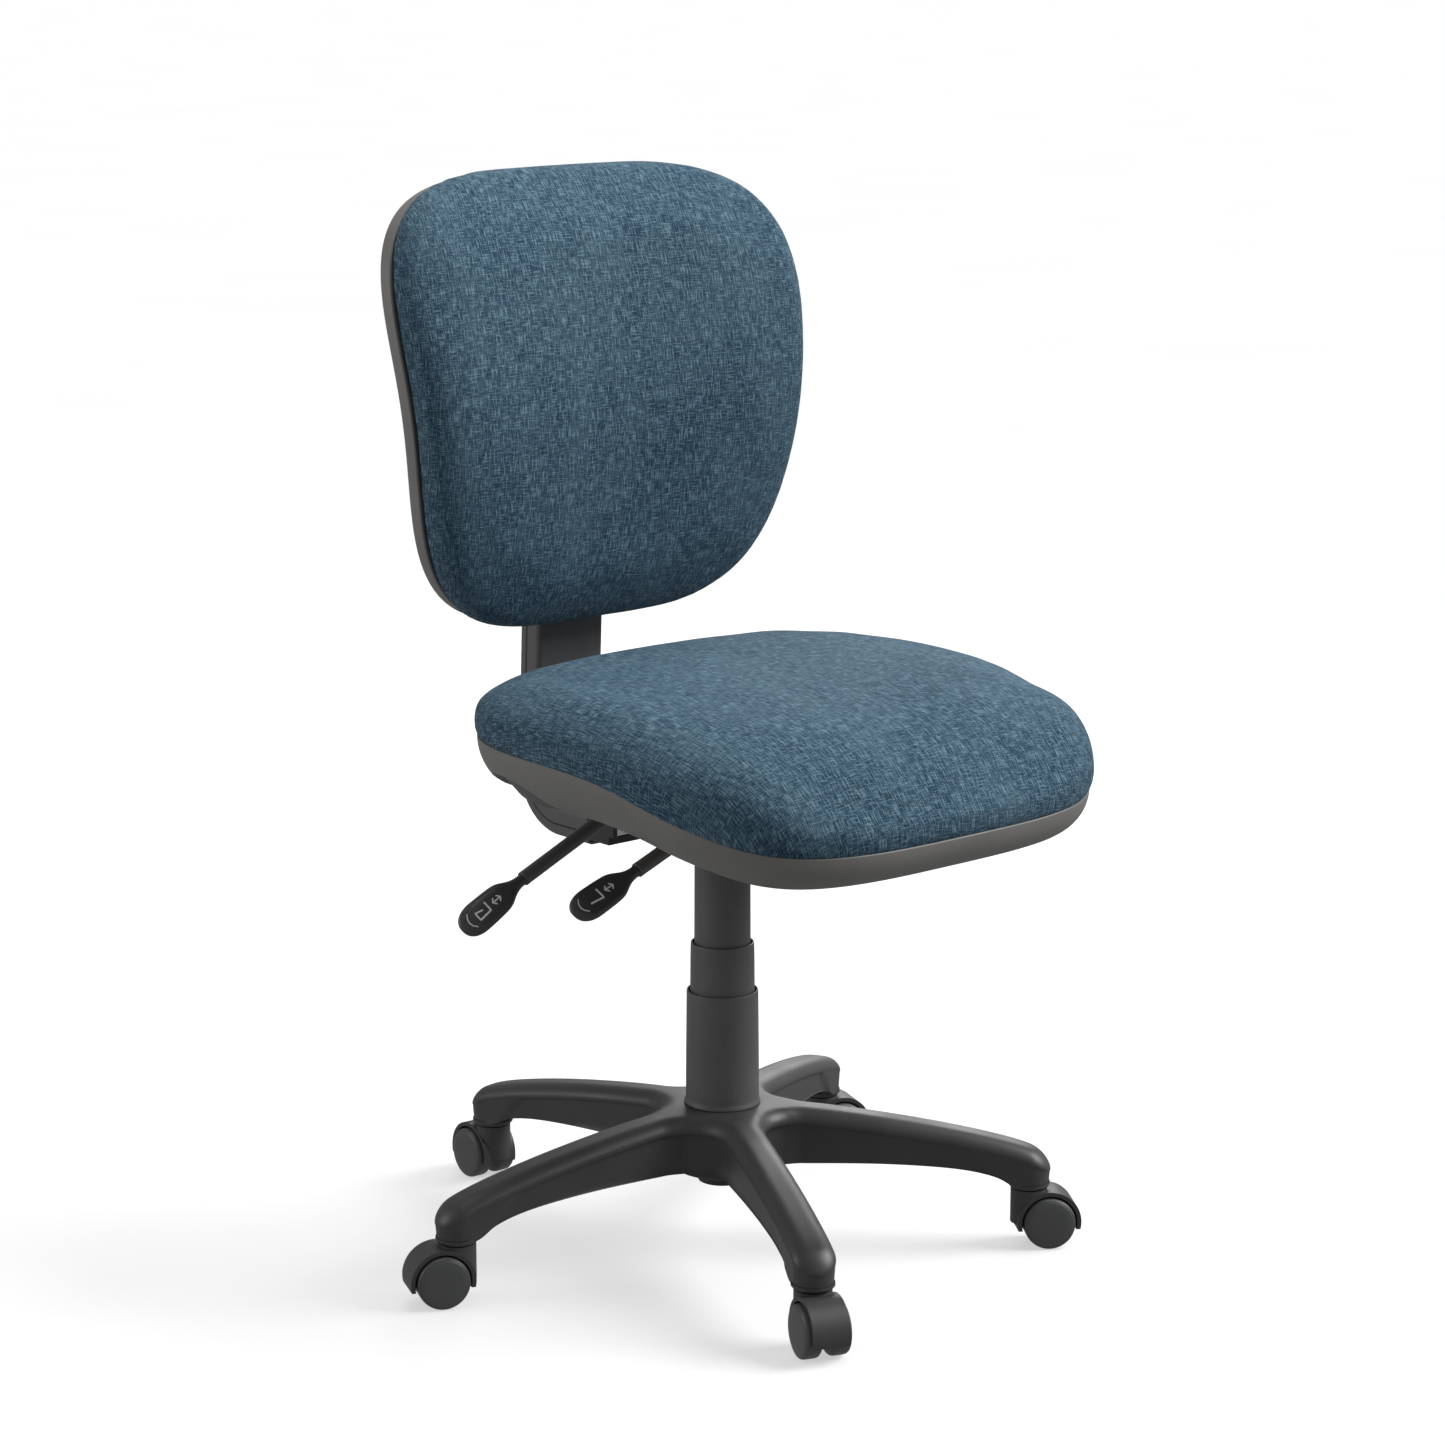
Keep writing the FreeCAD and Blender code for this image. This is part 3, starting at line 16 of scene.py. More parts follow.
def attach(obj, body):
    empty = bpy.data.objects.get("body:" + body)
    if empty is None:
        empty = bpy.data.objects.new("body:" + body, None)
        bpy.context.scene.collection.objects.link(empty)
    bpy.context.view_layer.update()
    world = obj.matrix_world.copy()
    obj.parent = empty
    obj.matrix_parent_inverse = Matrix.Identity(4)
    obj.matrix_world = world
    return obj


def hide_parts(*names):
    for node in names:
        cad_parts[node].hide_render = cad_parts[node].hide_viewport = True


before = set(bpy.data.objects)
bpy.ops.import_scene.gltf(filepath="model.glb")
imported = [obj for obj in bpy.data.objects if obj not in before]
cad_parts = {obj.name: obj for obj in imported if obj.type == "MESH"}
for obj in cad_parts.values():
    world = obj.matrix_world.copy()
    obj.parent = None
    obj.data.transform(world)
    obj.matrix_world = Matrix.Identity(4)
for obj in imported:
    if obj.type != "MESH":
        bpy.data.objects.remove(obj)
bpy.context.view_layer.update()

MM = 0.001
LOG = logging.getLogger("chair")
MIX_FIRST, MIX_SECOND = 6, 7    # colour sockets of a Mix node
TINY = 1e-6                     # keeps a division by a length away from zero, in metres


# ------------------------------------------------------------------ small helpers
def linear(hex_colour: str) -> tuple[float, float, float, float]:
    """Turn an sRGB hex colour into the linear values that shaders take.

    Args:
        hex_colour: Six hex digits with a leading #.

    Returns:
        Linear red, green, blue and an alpha of one.
    """
    parts = np.array([int(hex_colour[i:i + 2], 16) for i in (1, 3, 5)]) / 255
    values = np.where(parts <= 0.04045, parts / 12.92, ((parts + 0.055) / 1.055) ** 2.4)
    return (*values.tolist(), 1.0)


def signed_power(values: np.ndarray, exponent: float) -> np.ndarray:
    """Power that keeps the sign: sign(v) times |v| to the exponent."""
    return np.sign(values) * np.abs(values) ** exponent


def smooth_step(values: np.ndarray, start: float, end: float) -> np.ndarray:
    """Ease from 0 at start to 1 at end: 3t^2 - 2t^3."""
    t = np.clip((values - start) / (end - start), 0, 1)
    return t * t * (3 - 2 * t)


def spline(at: np.ndarray, xs: Sequence[float], ys: Sequence[float]) -> np.ndarray:
    """Natural cubic spline: a smooth curve through given points, straight beyond its ends.

    Args:
        at: Where to read the curve.
        xs: Rising places of the given points.
        ys: Values at those places.

    Returns:
        Curve values, in the shape of at.
    """
    x, y = np.asarray(xs, float), np.asarray(ys, float)
    step, slope = np.diff(x), np.diff(y) / np.diff(x)
    count = len(x)
    matrix = np.eye(count)
    inner = np.arange(1, count - 1)
    matrix[inner, inner - 1] = step[:-1]
    matrix[inner, inner] = 2 * (step[:-1] + step[1:])
    matrix[inner, inner + 1] = step[1:]
    right = np.zeros(count)
    right[1:-1] = 6 * np.diff(slope)
    bend = np.linalg.solve(matrix, right)
    place = np.clip(np.searchsorted(x, at) - 1, 0, count - 2)
    near = np.clip(at, x[0], x[-1])
    a, b, h = x[place + 1] - near, near - x[place], step[place]
    curve = ((bend[place] * a ** 3 + bend[place + 1] * b ** 3) / (6 * h)
             + (y[place] / h - bend[place] * h / 6) * a + (y[place + 1] / h - bend[place + 1] * h / 6) * b)
    start_slope = slope[0] - step[0] * bend[1] / 6
    end_slope = slope[-1] + step[-1] * bend[-2] / 6
    return curve + np.minimum(at - x[0], 0) * start_slope + np.maximum(at - x[-1], 0) * end_slope


def unit(vectors: np.ndarray) -> np.ndarray:
    """Vectors of length one along the last axis; a vector near zero stays short."""
    return vectors / np.maximum(np.linalg.norm(vectors, axis=-1, keepdims=True), TINY)


def distance_along(points: np.ndarray) -> np.ndarray:
    """Distance travelled along a row of points: the running sum of the steps between them."""
    return np.concatenate([[0], np.cumsum(np.linalg.norm(np.diff(points, axis=0), axis=1))])


def even_angles(outline: Callable[[np.ndarray], np.ndarray], count: int) -> np.ndarray:
    """Angles whose points on a closed outline lie evenly apart along it.

    Args:
        outline: Function from angles to points.
        count: How many angles are wanted.

    Returns:
        The angles, from zero round to just short of a full turn.
    """
    fine = np.linspace(0, 2 * math.pi, 4001)
    travelled = distance_along(outline(fine))
    return np.interp(np.linspace(0, travelled[-1], count, endpoint=False), travelled, fine)


def rounded_loop(corners: Sequence[Sequence[float]], steps: int = 6) -> np.ndarray:
    """Closed outline with rounded corners: each corner becomes an arc that touches both its sides.

    Args:
        corners: Rows of x, y and corner radius.
        steps: Pieces in each arc.

    Returns:
        Outline points, one row each.
    """
    rows = np.asarray(corners, float)
    outline = []
    for index, (x, y, radius) in enumerate(rows):
        corner = np.array([x, y])
        before = rows[index - 1, :2] - corner
        after = rows[(index + 1) % len(rows), :2] - corner
        before, after = before / np.linalg.norm(before), after / np.linalg.norm(after)
        half = math.acos(float(np.clip(before @ after, -1, 1))) / 2
        if radius <= 0 or half > math.radians(88):
            outline.append(corner[None])
            continue
        reach = radius / math.tan(half)
        middle = corner + (before + after) / np.linalg.norm(before + after) * radius / math.sin(half)
        start, end = corner + before * reach - middle, corner + after * reach - middle
        sweep = math.pi - 2 * half
        t = np.linspace(0, 1, steps + 1)[:, None]
        outline.append(middle + (start * np.sin((1 - t) * sweep) + end * np.sin(t * sweep)) / math.sin(sweep))
    return np.concatenate(outline)


class Ends(Enum):
    """How the first and last rows of a grid are closed."""

    JOINED = "joined"   # the last row meets the first, as on a ring
    FLAT = "flat"       # each end row is filled by one flat face
    POLE = "pole"       # each end row runs in to a single point


@dataclass
class Form:
    """Points and faces of a closed surface, in metres.

    Attributes:
        points: One row per point.
        faces: Point numbers of each face.
    """

    points: np.ndarray
    faces: list[list[int]]

    @classmethod
    def from_grid(cls, rows: np.ndarray, ends: Ends) -> "Form":
        """Skin a grid of rows that each close on themselves.

        Args:
            rows: Points as (row, place in the row, xyz).
            ends: How the first and last rows are closed.

        Returns:
            The form, with its faces pointing outwards.
        """
        count, width = rows.shape[:2]
        points = rows.reshape(-1, 3)
        number = np.arange(count * width).reshape(count, width)
        lower = number if ends is Ends.JOINED else number[:-1]
        upper = np.roll(number, -1, axis=0) if ends is Ends.JOINED else number[1:]
        quads = np.stack([lower, np.roll(lower, -1, 1), np.roll(upper, -1, 1), upper], -1).reshape(-1, 4)
        faces = quads.tolist()
        if ends is Ends.FLAT:
            faces += [number[0, ::-1].tolist(), number[-1].tolist()]
        if ends is Ends.POLE:
            points = np.concatenate([points, rows[:1].mean(1), rows[-1:].mean(1)])
            first, last = count * width, count * width + 1
            faces += np.stack([np.roll(number[0], -1), number[0], np.full(width, first)], -1).tolist()
            faces += np.stack([number[-1], np.roll(number[-1], -1), np.full(width, last)], -1).tolist()
        return cls(points, faces).outward()

    def volume(self) -> float:
        """Signed volume inside the faces, by cones from the origin over fans of triangles."""
        total = 0.0
        sizes = np.array([len(face) for face in self.faces])
        for size in np.unique(sizes):
            group = np.array([self.faces[i] for i in np.flatnonzero(sizes == size)])
            for corner in range(1, size - 1):
                a, b, c = (self.points[group[:, k]] for k in (0, corner, corner + 1))
                total += float(np.einsum("ij,ij->", a, np.cross(b, c))) / 6
        return total

    def outward(self) -> "Form":
        """The same form with every face pointing away from the inside."""
        if self.volume() < 0:
            self.faces = [face[::-1] for face in self.faces]
        return self

    def placed(self, matrix: np.ndarray) -> "Form":
        """Copy carried by a 4 x 4 matrix that doesn't mirror."""
        return Form(self.points @ matrix[:3, :3].T + matrix[:3, 3], self.faces)

    def joined(self, *others: "Form") -> "Form":
        """One form that holds this one and others side by side."""
        points, faces = [self.points], list(self.faces)
        start = len(self.points)
        for other in others:
            points.append(other.points)
            faces += [[number + start for number in face] for face in other.faces]
            start += len(other.points)
        return Form(np.concatenate(points), faces)

    def to_object(self, name: str, crease: float = 35.0, merge: bool = False) -> bpy.types.Object:
        """Put the form into the scene as a mesh.

        Args:
            name: Name of the new piece.
            crease: Angle in degrees above which an edge stays sharp.
            merge: Whether points at one place are made one.

        Returns:
            The new mesh object.
        """
        mesh = bpy.data.meshes.new(name)
        mesh.from_pydata(self.points.tolist(), [], self.faces)
        if merge:
            work = bmesh.new()
            work.from_mesh(mesh)
            bmesh.ops.remove_doubles(work, verts=work.verts, dist=1e-6)
            work.to_mesh(mesh)
            work.free()
        mesh.polygons.foreach_set("use_smooth", [True] * len(mesh.polygons))
        mesh.set_sharp_from_angle(angle=math.radians(crease))
        mesh.update()
        piece = bpy.data.objects.new(name, mesh)
        bpy.context.scene.collection.objects.link(piece)
        return piece


def turned(profile: np.ndarray, ends: Ends, steps: int = 96) -> Form:
    """Surface of revolution about Z: every profile point runs round a circle.

    Args:
        profile: Rows of radius and height, in metres.
        ends: JOINED for a ring, POLE where the profile starts and ends near the axis.
        steps: Points round the circle.

    Returns:
        The closed form.
    """
    angle = np.linspace(0, 2 * math.pi, steps, endpoint=False)
    radius, height = profile[:, 0:1], profile[:, 1:2]
    rows = np.stack([radius * np.cos(angle), radius * np.sin(angle), height + 0 * angle], -1)
    return Form.from_grid(rows, ends)


def carried(loop: np.ndarray, path: np.ndarray, across: np.ndarray, outward: np.ndarray, ends: Ends) -> Form:
    """Profile carried along a path: point = path + x times across + y times outward.

    Args:
        loop: Closed profile as (place, xy), or one per path point as (path point, place, xy).
        path: Points of the path.
        across: Unit direction of the profile's x at each path point.
        outward: Unit direction of the profile's y at each path point.
        ends: How the ends of the path are closed.

    Returns:
        The closed form.
    """
    loops = np.broadcast_to(loop, (len(path), *loop.shape[-2:]))
    rows = path[:, None] + loops[..., 0:1] * across[:, None] + loops[..., 1:2] * outward[:, None]
    return Form.from_grid(rows, ends)


def turn_z(degrees: float, place: Sequence[float] = (0, 0, 0)) -> np.ndarray:
    """Matrix that turns about Z and then shifts to a place."""
    return np.array(Matrix.Translation(Vector(place)) @ Matrix.Rotation(math.radians(degrees), 4, "Z"))


def add_node(tree: bpy.types.NodeTree, kind: str, inputs: dict[Any, Any] | None = None,
             **settings: Any) -> bpy.types.Node:
    """Add a shader node with its settings, values and links.

    Args:
        tree: Node tree to add to.
        kind: Type name of the node.
        inputs: Input socket names or numbers, each with a value or the socket to link from.
        **settings: Properties of the node.

    Returns:
        The new node.
    """
    new = tree.nodes.new(kind)
    for key, value in settings.items():
        setattr(new, key, value)
    for key, value in (inputs or {}).items():
        if isinstance(value, bpy.types.NodeSocket):
            tree.links.new(value, new.inputs[key])
        else:
            new.inputs[key].default_value = value
    return new


def new_material(name: str) -> tuple[bpy.types.Material, bpy.types.NodeTree, bpy.types.Node]:
    """Material with an empty tree, its output and one main shader."""
    material = bpy.data.materials.new(name)
    material.use_nodes = True
    tree = material.node_tree
    tree.nodes.clear()
    shader = add_node(tree, "ShaderNodeBsdfPrincipled")
    add_node(tree, "ShaderNodeOutputMaterial", {"Surface": shader.outputs[0]})
    return material, tree, shader


# ------------------------------------------------------------------ finishes
@dataclass(frozen=True)
class MouldedPlastic:
    """Spark-eroded moulded polymer: fine even grain that scatters the light softly.

    Attributes:
        name: Common name of the plastic.
        dark: Colour in the grain's hollows.
        light: Colour on the grain's tops.
        roughness: Mean roughness.
        grain: Spacing of the grain in metres.
        depth: Height of the grain in metres.
        patches: Slow patches of gloss per metre.
    """

    name: str
    dark: str
    light: str
    roughness: float = 0.5
    grain: float = 0.0011
    depth: float = 0.00006
    patches: float = 14.0

    def build(self) -> bpy.types.Material:
        """Colour, roughness and bump all come from noise at the grain's size, with slow patches over it."""
        material, tree, shader = new_material(self.name)
        place = add_node(tree, "ShaderNodeTexCoord").outputs["Object"]
        grain = add_node(tree, "ShaderNodeTexNoise", {
            "Vector": place, "Scale": 1 / self.grain, "Detail": 2.0})
        patch = add_node(tree, "ShaderNodeTexNoise", {
            "Vector": place, "Scale": self.patches, "Detail": 3.0})
        both = add_node(tree, "ShaderNodeMath", {0: grain.outputs["Fac"], 1: patch.outputs["Fac"]},
                        operation="ADD")
        share = add_node(tree, "ShaderNodeMapRange", {
            "Value": both.outputs[0], "From Min": 0.7, "From Max": 1.3})
        colour = add_node(tree, "ShaderNodeMix", {0: share.outputs[0], MIX_FIRST: linear(self.dark),
                                                  MIX_SECOND: linear(self.light)}, data_type="RGBA")
        rough = add_node(tree, "ShaderNodeMapRange", {"Value": patch.outputs["Fac"], "From Min": 0.3,
                                                      "From Max": 0.7, "To Min": self.roughness - 0.05,
                                                      "To Max": self.roughness + 0.06})
        bump = add_node(tree, "ShaderNodeBump", {"Height": grain.outputs["Fac"], "Distance": self.depth,
                                                 "Strength": 1.0})
        tree.links.new(colour.outputs[2], shader.inputs["Base Color"])
        tree.links.new(rough.outputs[0], shader.inputs["Roughness"])
        tree.links.new(bump.outputs[0], shader.inputs["Normal"])
        shader.inputs["IOR"].default_value = 1.5
        return material


@dataclass(frozen=True)
class RolledSteel:
    """Drawn or pressed steel: fine lines along the metal and a patchy gloss.

    Attributes:
        name: Common name of the steel.
        dark: Colour in the lines.
        light: Colour between them.
        roughness: Mean roughness.
        metallic: 1 for bare metal, 0 under powder coat.
        lines: Lines per metre across and along the metal.
        patches: Slow patches of gloss per metre.
    """

    name: str
    dark: str
    light: str
    roughness: float = 0.35
    metallic: float = 1.0
    lines: tuple[float, float, float] = (700.0, 700.0, 60.0)
    patches: float = 30.0

    def build(self) -> bpy.types.Material:
        """Noise stretched along Z draws the lines; a slower one varies the gloss."""
        material, tree, shader = new_material(self.name)
        place = add_node(tree, "ShaderNodeTexCoord").outputs["Object"]
        along = add_node(tree, "ShaderNodeMapping", {"Vector": place, "Scale": self.lines})
        lines = add_node(tree, "ShaderNodeTexNoise", {
            "Vector": along.outputs[0], "Scale": 1.0, "Detail": 2.0})
        patch = add_node(tree, "ShaderNodeTexNoise", {
            "Vector": place, "Scale": self.patches, "Detail": 3.0})
        colour = add_node(tree, "ShaderNodeMix", {0: lines.outputs["Fac"], MIX_FIRST: linear(self.dark),
                                                  MIX_SECOND: linear(self.light)}, data_type="RGBA")
        rough = add_node(tree, "ShaderNodeMapRange", {"Value": patch.outputs["Fac"], "From Min": 0.3,
                                                      "From Max": 0.7, "To Min": self.roughness - 0.08,
                                                      "To Max": self.roughness + 0.1})
        bump = add_node(tree, "ShaderNodeBump", {"Height": lines.outputs["Fac"], "Distance": 0.00003})
        tree.links.new(colour.outputs[2], shader.inputs["Base Color"])
        tree.links.new(rough.outputs[0], shader.inputs["Roughness"])
        tree.links.new(bump.outputs[0], shader.inputs["Normal"])
        shader.inputs["Metallic"].default_value = self.metallic
        return material


@dataclass(frozen=True)
class ThreadLayer:
    """One layer of noise that lays a colour over the cloth below it.

    Attributes:
        across: Size of its flecks across the warp, in metres.
        along: Their size along the warp, in metres.
        detail: Detail of the noise.
        starts: Noise value where the colour starts to cover.
        fills: Noise value where it covers most.
        least: Share covered below the start.
        most: Share covered past the fill.
        colour: The colour.
    """

    across: float
    along: float
    detail: float
    starts: float
    fills: float
    least: float
    most: float
    colour: str


@dataclass(frozen=True)
class WovenUpholstery:
    """Melange polyester weave: two blues twisted together, with paler slubs along warp and weft.

    Attributes:
        name: Common name of the cloth.
        shade: Colour between the threads.
        body: Colour of most threads.
        pale: Colour of the slubs.
        thread: Thread spacing in metres; drawn a little coarser than real so that it shows.
    """

    name: str = "melange_polyester_weave"
    shade: str = "#0a1b29"
    body: str = "#29506a"
    pale: str = "#8fb0c0"
    thread: float = 0.0014

    def layers(self) -> tuple[ThreadLayer, ...]:
        """Threads, slow patches, pale slubs both ways and dark threads, from the bottom up."""
        fine = self.thread * 0.75
        return (
            ThreadLayer(self.thread, self.thread * 1.2, 1.0, 0.36, 0.64, 0.12, 1.0, self.body),
            ThreadLayer(0.045, 0.16, 3.0, 0.36, 0.70, 0.0, 0.09, self.pale),
            ThreadLayer(fine, 0.013, 2.0, 0.50, 0.72, 0.0, 0.56, self.pale),
            ThreadLayer(0.012, fine, 2.0, 0.50, 0.74, 0.0, 0.50, self.pale),
            ThreadLayer(self.thread * 0.9, 0.015, 2.0, 0.52, 0.74, 0.0, 0.62, self.shade),
        )

    def build(self) -> bpy.types.Material:
        """The weave is two crossed sine ribs; slubs are noise stretched along each thread direction."""
        material, tree, shader = new_material(self.name)
        flat = add_node(tree, "ShaderNodeUVMap", uv_map="weave").outputs[0]
        under: Any = linear(self.shade)
        fleck = None
        for number, layer in enumerate(self.layers()):
            scaled = add_node(tree, "ShaderNodeMapping", {
                "Vector": flat, "Location": (3.7 * number, 1.9 * number, 0),
                "Scale": (1 / layer.across, 1 / layer.along, 1)})
            noise = add_node(tree, "ShaderNodeTexNoise", {
                "Vector": scaled.outputs[0], "Scale": 1.0, "Detail": layer.detail}, noise_dimensions="2D")
            cover = add_node(tree, "ShaderNodeMapRange", {
                "Value": noise.outputs["Fac"], "From Min": layer.starts, "From Max": layer.fills,
                "To Min": layer.least, "To Max": layer.most})
            mix = add_node(tree, "ShaderNodeMix", {
                0: cover.outputs[0], MIX_FIRST: under, MIX_SECOND: linear(layer.colour)}, data_type="RGBA")
            under = mix.outputs[2]
            fleck = fleck or noise.outputs["Fac"]
        ribs = [add_node(tree, "ShaderNodeTexWave", {
            "Vector": flat, "Scale": 0.5 / self.thread, "Distortion": 0.6, "Detail Scale": 2.0},
            bands_direction=way).outputs["Fac"] for way in ("X", "Y")]
        crossed = add_node(tree, "ShaderNodeMath", {0: ribs[0], 1: ribs[1]}, operation="MULTIPLY").outputs[0]
        dent = add_node(tree, "ShaderNodeMath", {0: crossed, 1: 0.3}, operation="MULTIPLY").outputs[0]
        shaded = add_node(tree, "ShaderNodeMix", {0: dent, MIX_FIRST: under, MIX_SECOND: linear(self.shade)},
                          data_type="RGBA")
        height = add_node(tree, "ShaderNodeMath", {0: crossed, 1: fleck}, operation="ADD").outputs[0]
        bump = add_node(tree, "ShaderNodeBump", {"Height": height, "Distance": 0.00030, "Strength": 0.8})
        rough = add_node(tree, "ShaderNodeMapRange", {"Value": fleck, "To Min": 0.78, "To Max": 0.95})
        tree.links.new(shaded.outputs[2], shader.inputs["Base Color"])
        tree.links.new(rough.outputs[0], shader.inputs["Roughness"])
        tree.links.new(bump.outputs[0], shader.inputs["Normal"])
        shader.inputs["Sheen Weight"].default_value = 0.05
        shader.inputs["Sheen Roughness"].default_value = 0.45
        shader.inputs["Sheen Tint"].default_value = linear("#c8d8e4")
        shader.inputs["Specular IOR Level"].default_value = 0.2
        return material


@dataclass(frozen=True)
class BeechPly:
    """Beech plywood: straight brown grain lines on a pale ground.

    Attributes:
        name: Common name of the wood.
        dark: Colour of the grain lines.
        light: Colour between them.
        lines: Grain lines per metre along each axis.
    """

    name: str = "beech_plywood"
    dark: str = "#a9855c"
    light: str = "#d2b48a"
    lines: tuple[float, float, float] = (500.0, 16.0, 500.0)

    def build(self) -> bpy.types.Material:
        """Noise stretched along Y draws the grain, 2 mm wide and about 60 mm long."""
        material, tree, shader = new_material(self.name)
        place = add_node(tree, "ShaderNodeTexCoord").outputs["Object"]
        along = add_node(tree, "ShaderNodeMapping", {"Vector": place, "Scale": self.lines})
        grain = add_node(tree, "ShaderNodeTexNoise", {
            "Vector": along.outputs[0], "Scale": 1.0, "Detail": 4.0})
        colour = add_node(tree, "ShaderNodeMix", {0: grain.outputs["Fac"], MIX_FIRST: linear(self.dark),
                                                  MIX_SECOND: linear(self.light)}, data_type="RGBA")
        rough = add_node(tree, "ShaderNodeMapRange", {
            "Value": grain.outputs["Fac"], "To Min": 0.5, "To Max": 0.7})
        tree.links.new(colour.outputs[2], shader.inputs["Base Color"])
        tree.links.new(rough.outputs[0], shader.inputs["Roughness"])
        return material


@dataclass
class Finishes:
    """Every material of the chair, made once and shared; the comments say what each gives the eye."""

    # Fibre-filled nylon is dull black-grey with a hazy shine on its ridges.
    base: bpy.types.Material = field(default_factory=MouldedPlastic(
        "glass_filled_nylon", "#373738", "#414142", 0.46).build)
    # Polypropylene covers have a tight grain and a soft, slightly paler grey.
    cover: bpy.types.Material = field(default_factory=MouldedPlastic(
        "moulded_polypropylene", "#525254", "#5b5b5d", 0.48, 0.0009).build)
    # The shells' coarser grain scatters more light, so they look a warm mid grey.
    shell: bpy.types.Material = field(default_factory=MouldedPlastic(
        "textured_polypropylene", "#6c6b69", "#777674", 0.52, 0.0012, 0.00009).build)
    # Nylon wheels are nearly black and smoother than the hoods.
    wheel: bpy.types.Material = field(default_factory=MouldedPlastic(
        "nylon_wheel", "#494a4b", "#515253", 0.42, 0.0012, 0.00004).build)
    # Grips are polypropylene with a fine silky grain.
    grip: bpy.types.Material = field(default_factory=MouldedPlastic(
        "silky_polypropylene", "#3a3a3b", "#454546", 0.36, 0.0008).build)
    # Acetal is a waxy off-white.
    acetal: bpy.types.Material = field(default_factory=MouldedPlastic(
        "acetal_bush", "#c9c6bd", "#dedbd2", 0.45).build)
    # Pad-printed ink sits matt and pale grey on the grips.
    print_ink: bpy.types.Material = field(default_factory=MouldedPlastic(
        "pad_print_ink", "#dcdddc", "#e9eae9", 0.6).build)
    # Powder coat hides the steel under a satin black skin.
    coated: bpy.types.Material = field(default_factory=RolledSteel(
        "powder_coated_steel", "#252526", "#303031", 0.42, 0.0).build)
    # Zinc plate is bright with a bluish grey cast.
    plated: bpy.types.Material = field(default_factory=RolledSteel(
        "zinc_plated_steel", "#8d8f92", "#b4b6b9", 0.3).build)
    # The woven cloth is a matt, slightly streaked mid blue.
    cloth: bpy.types.Material = field(default_factory=WovenUpholstery().build)
    # Plywood boards are warm and pale under the foam.
    ply: bpy.types.Material = field(default_factory=BeechPly().build)


def show(piece: bpy.types.Object, body: str, finish: bpy.types.Material,
         replaces: Sequence[str] = ()) -> bpy.types.Object:
    """Give a new piece its finish and tie it to the chair.

    Args:
        piece: The new mesh object.
        body: Moving body that it rides on.
        finish: Its material.
        replaces: Design nodes that it stands for.

    Returns:
        The same piece.
    """
    piece.data.materials.clear()
    piece.data.materials.append(finish)
    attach(piece, body)
    if replaces:
        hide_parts(*replaces)
    LOG.info("%s: %d faces on body %s", piece.name, len(piece.data.polygons), body)
    return piece


def softened(node: str, name: str, width: float, crease: float = 38.0) -> bpy.types.Object:
    """Copy of a design node with its flat faces merged and its edges rounded.

    Args:
        node: Design node to copy.
        name: Name of the new piece.
        width: Rounding of the edges, in metres.
        crease: Angle in degrees above which an edge is rounded and stays sharp.

    Returns:
        The new mesh object.
    """
    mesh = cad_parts[node].data.copy()
    mesh.name = name
    work = bmesh.new()
    work.from_mesh(mesh)
    bmesh.ops.remove_doubles(work, verts=work.verts, dist=2e-6)
    nearly_flat = math.radians(0.6)
    bmesh.ops.dissolve_limit(work, angle_limit=nearly_flat, verts=work.verts, edges=work.edges)
    bmesh.ops.recalc_face_normals(work, faces=work.faces)
    work.to_mesh(mesh)
    work.free()
    piece = bpy.data.objects.new(name, mesh)
    bpy.context.scene.collection.objects.link(piece)
    mesh.polygons.foreach_set("use_smooth", [True] * len(mesh.polygons))
    edge = piece.modifiers.new("rounded_edges", "BEVEL")
    edge.width, edge.segments = width, 3
    edge.limit_method, edge.angle_limit = "ANGLE", math.radians(crease)
    edge.use_clamp_overlap = True
    edge.harden_normals = True
    mesh.set_sharp_from_angle(angle=math.radians(crease))
    return piece


def evened(mesh: bpy.types.Mesh, shift: np.ndarray, rounds: int) -> np.ndarray:
    """Smooth a movement over a mesh: each point takes the mean of its and its neighbours' moves, many times.

    Args:
        mesh: Mesh whose edges say which points are neighbours.
        shift: Movement of each point.
        rounds: How many times the mean is taken.

    Returns:
        The smoothed movement, free of small wrinkles.
    """
    ends = np.empty(len(mesh.edges) * 2, np.int64)
    mesh.edges.foreach_get("vertices", ends)
    first, second = ends.reshape(-1, 2).T
    count = len(mesh.vertices)
    degree = 1 + np.bincount(first, minlength=count) + np.bincount(second, minlength=count)
    for _ in range(rounds):
        sums = [np.bincount(first, shift[second, axis], count)
                + np.bincount(second, shift[first, axis], count) for axis in range(3)]
        shift = (shift + np.stack(sums, -1)) / degree[:, None]
    return shift


def point_places(mesh: bpy.types.Mesh) -> np.ndarray:
    """Places of a mesh's points, one row each."""
    places = np.empty(len(mesh.vertices) * 3)
    mesh.vertices.foreach_get("co", places)
    return places.reshape(-1, 3)


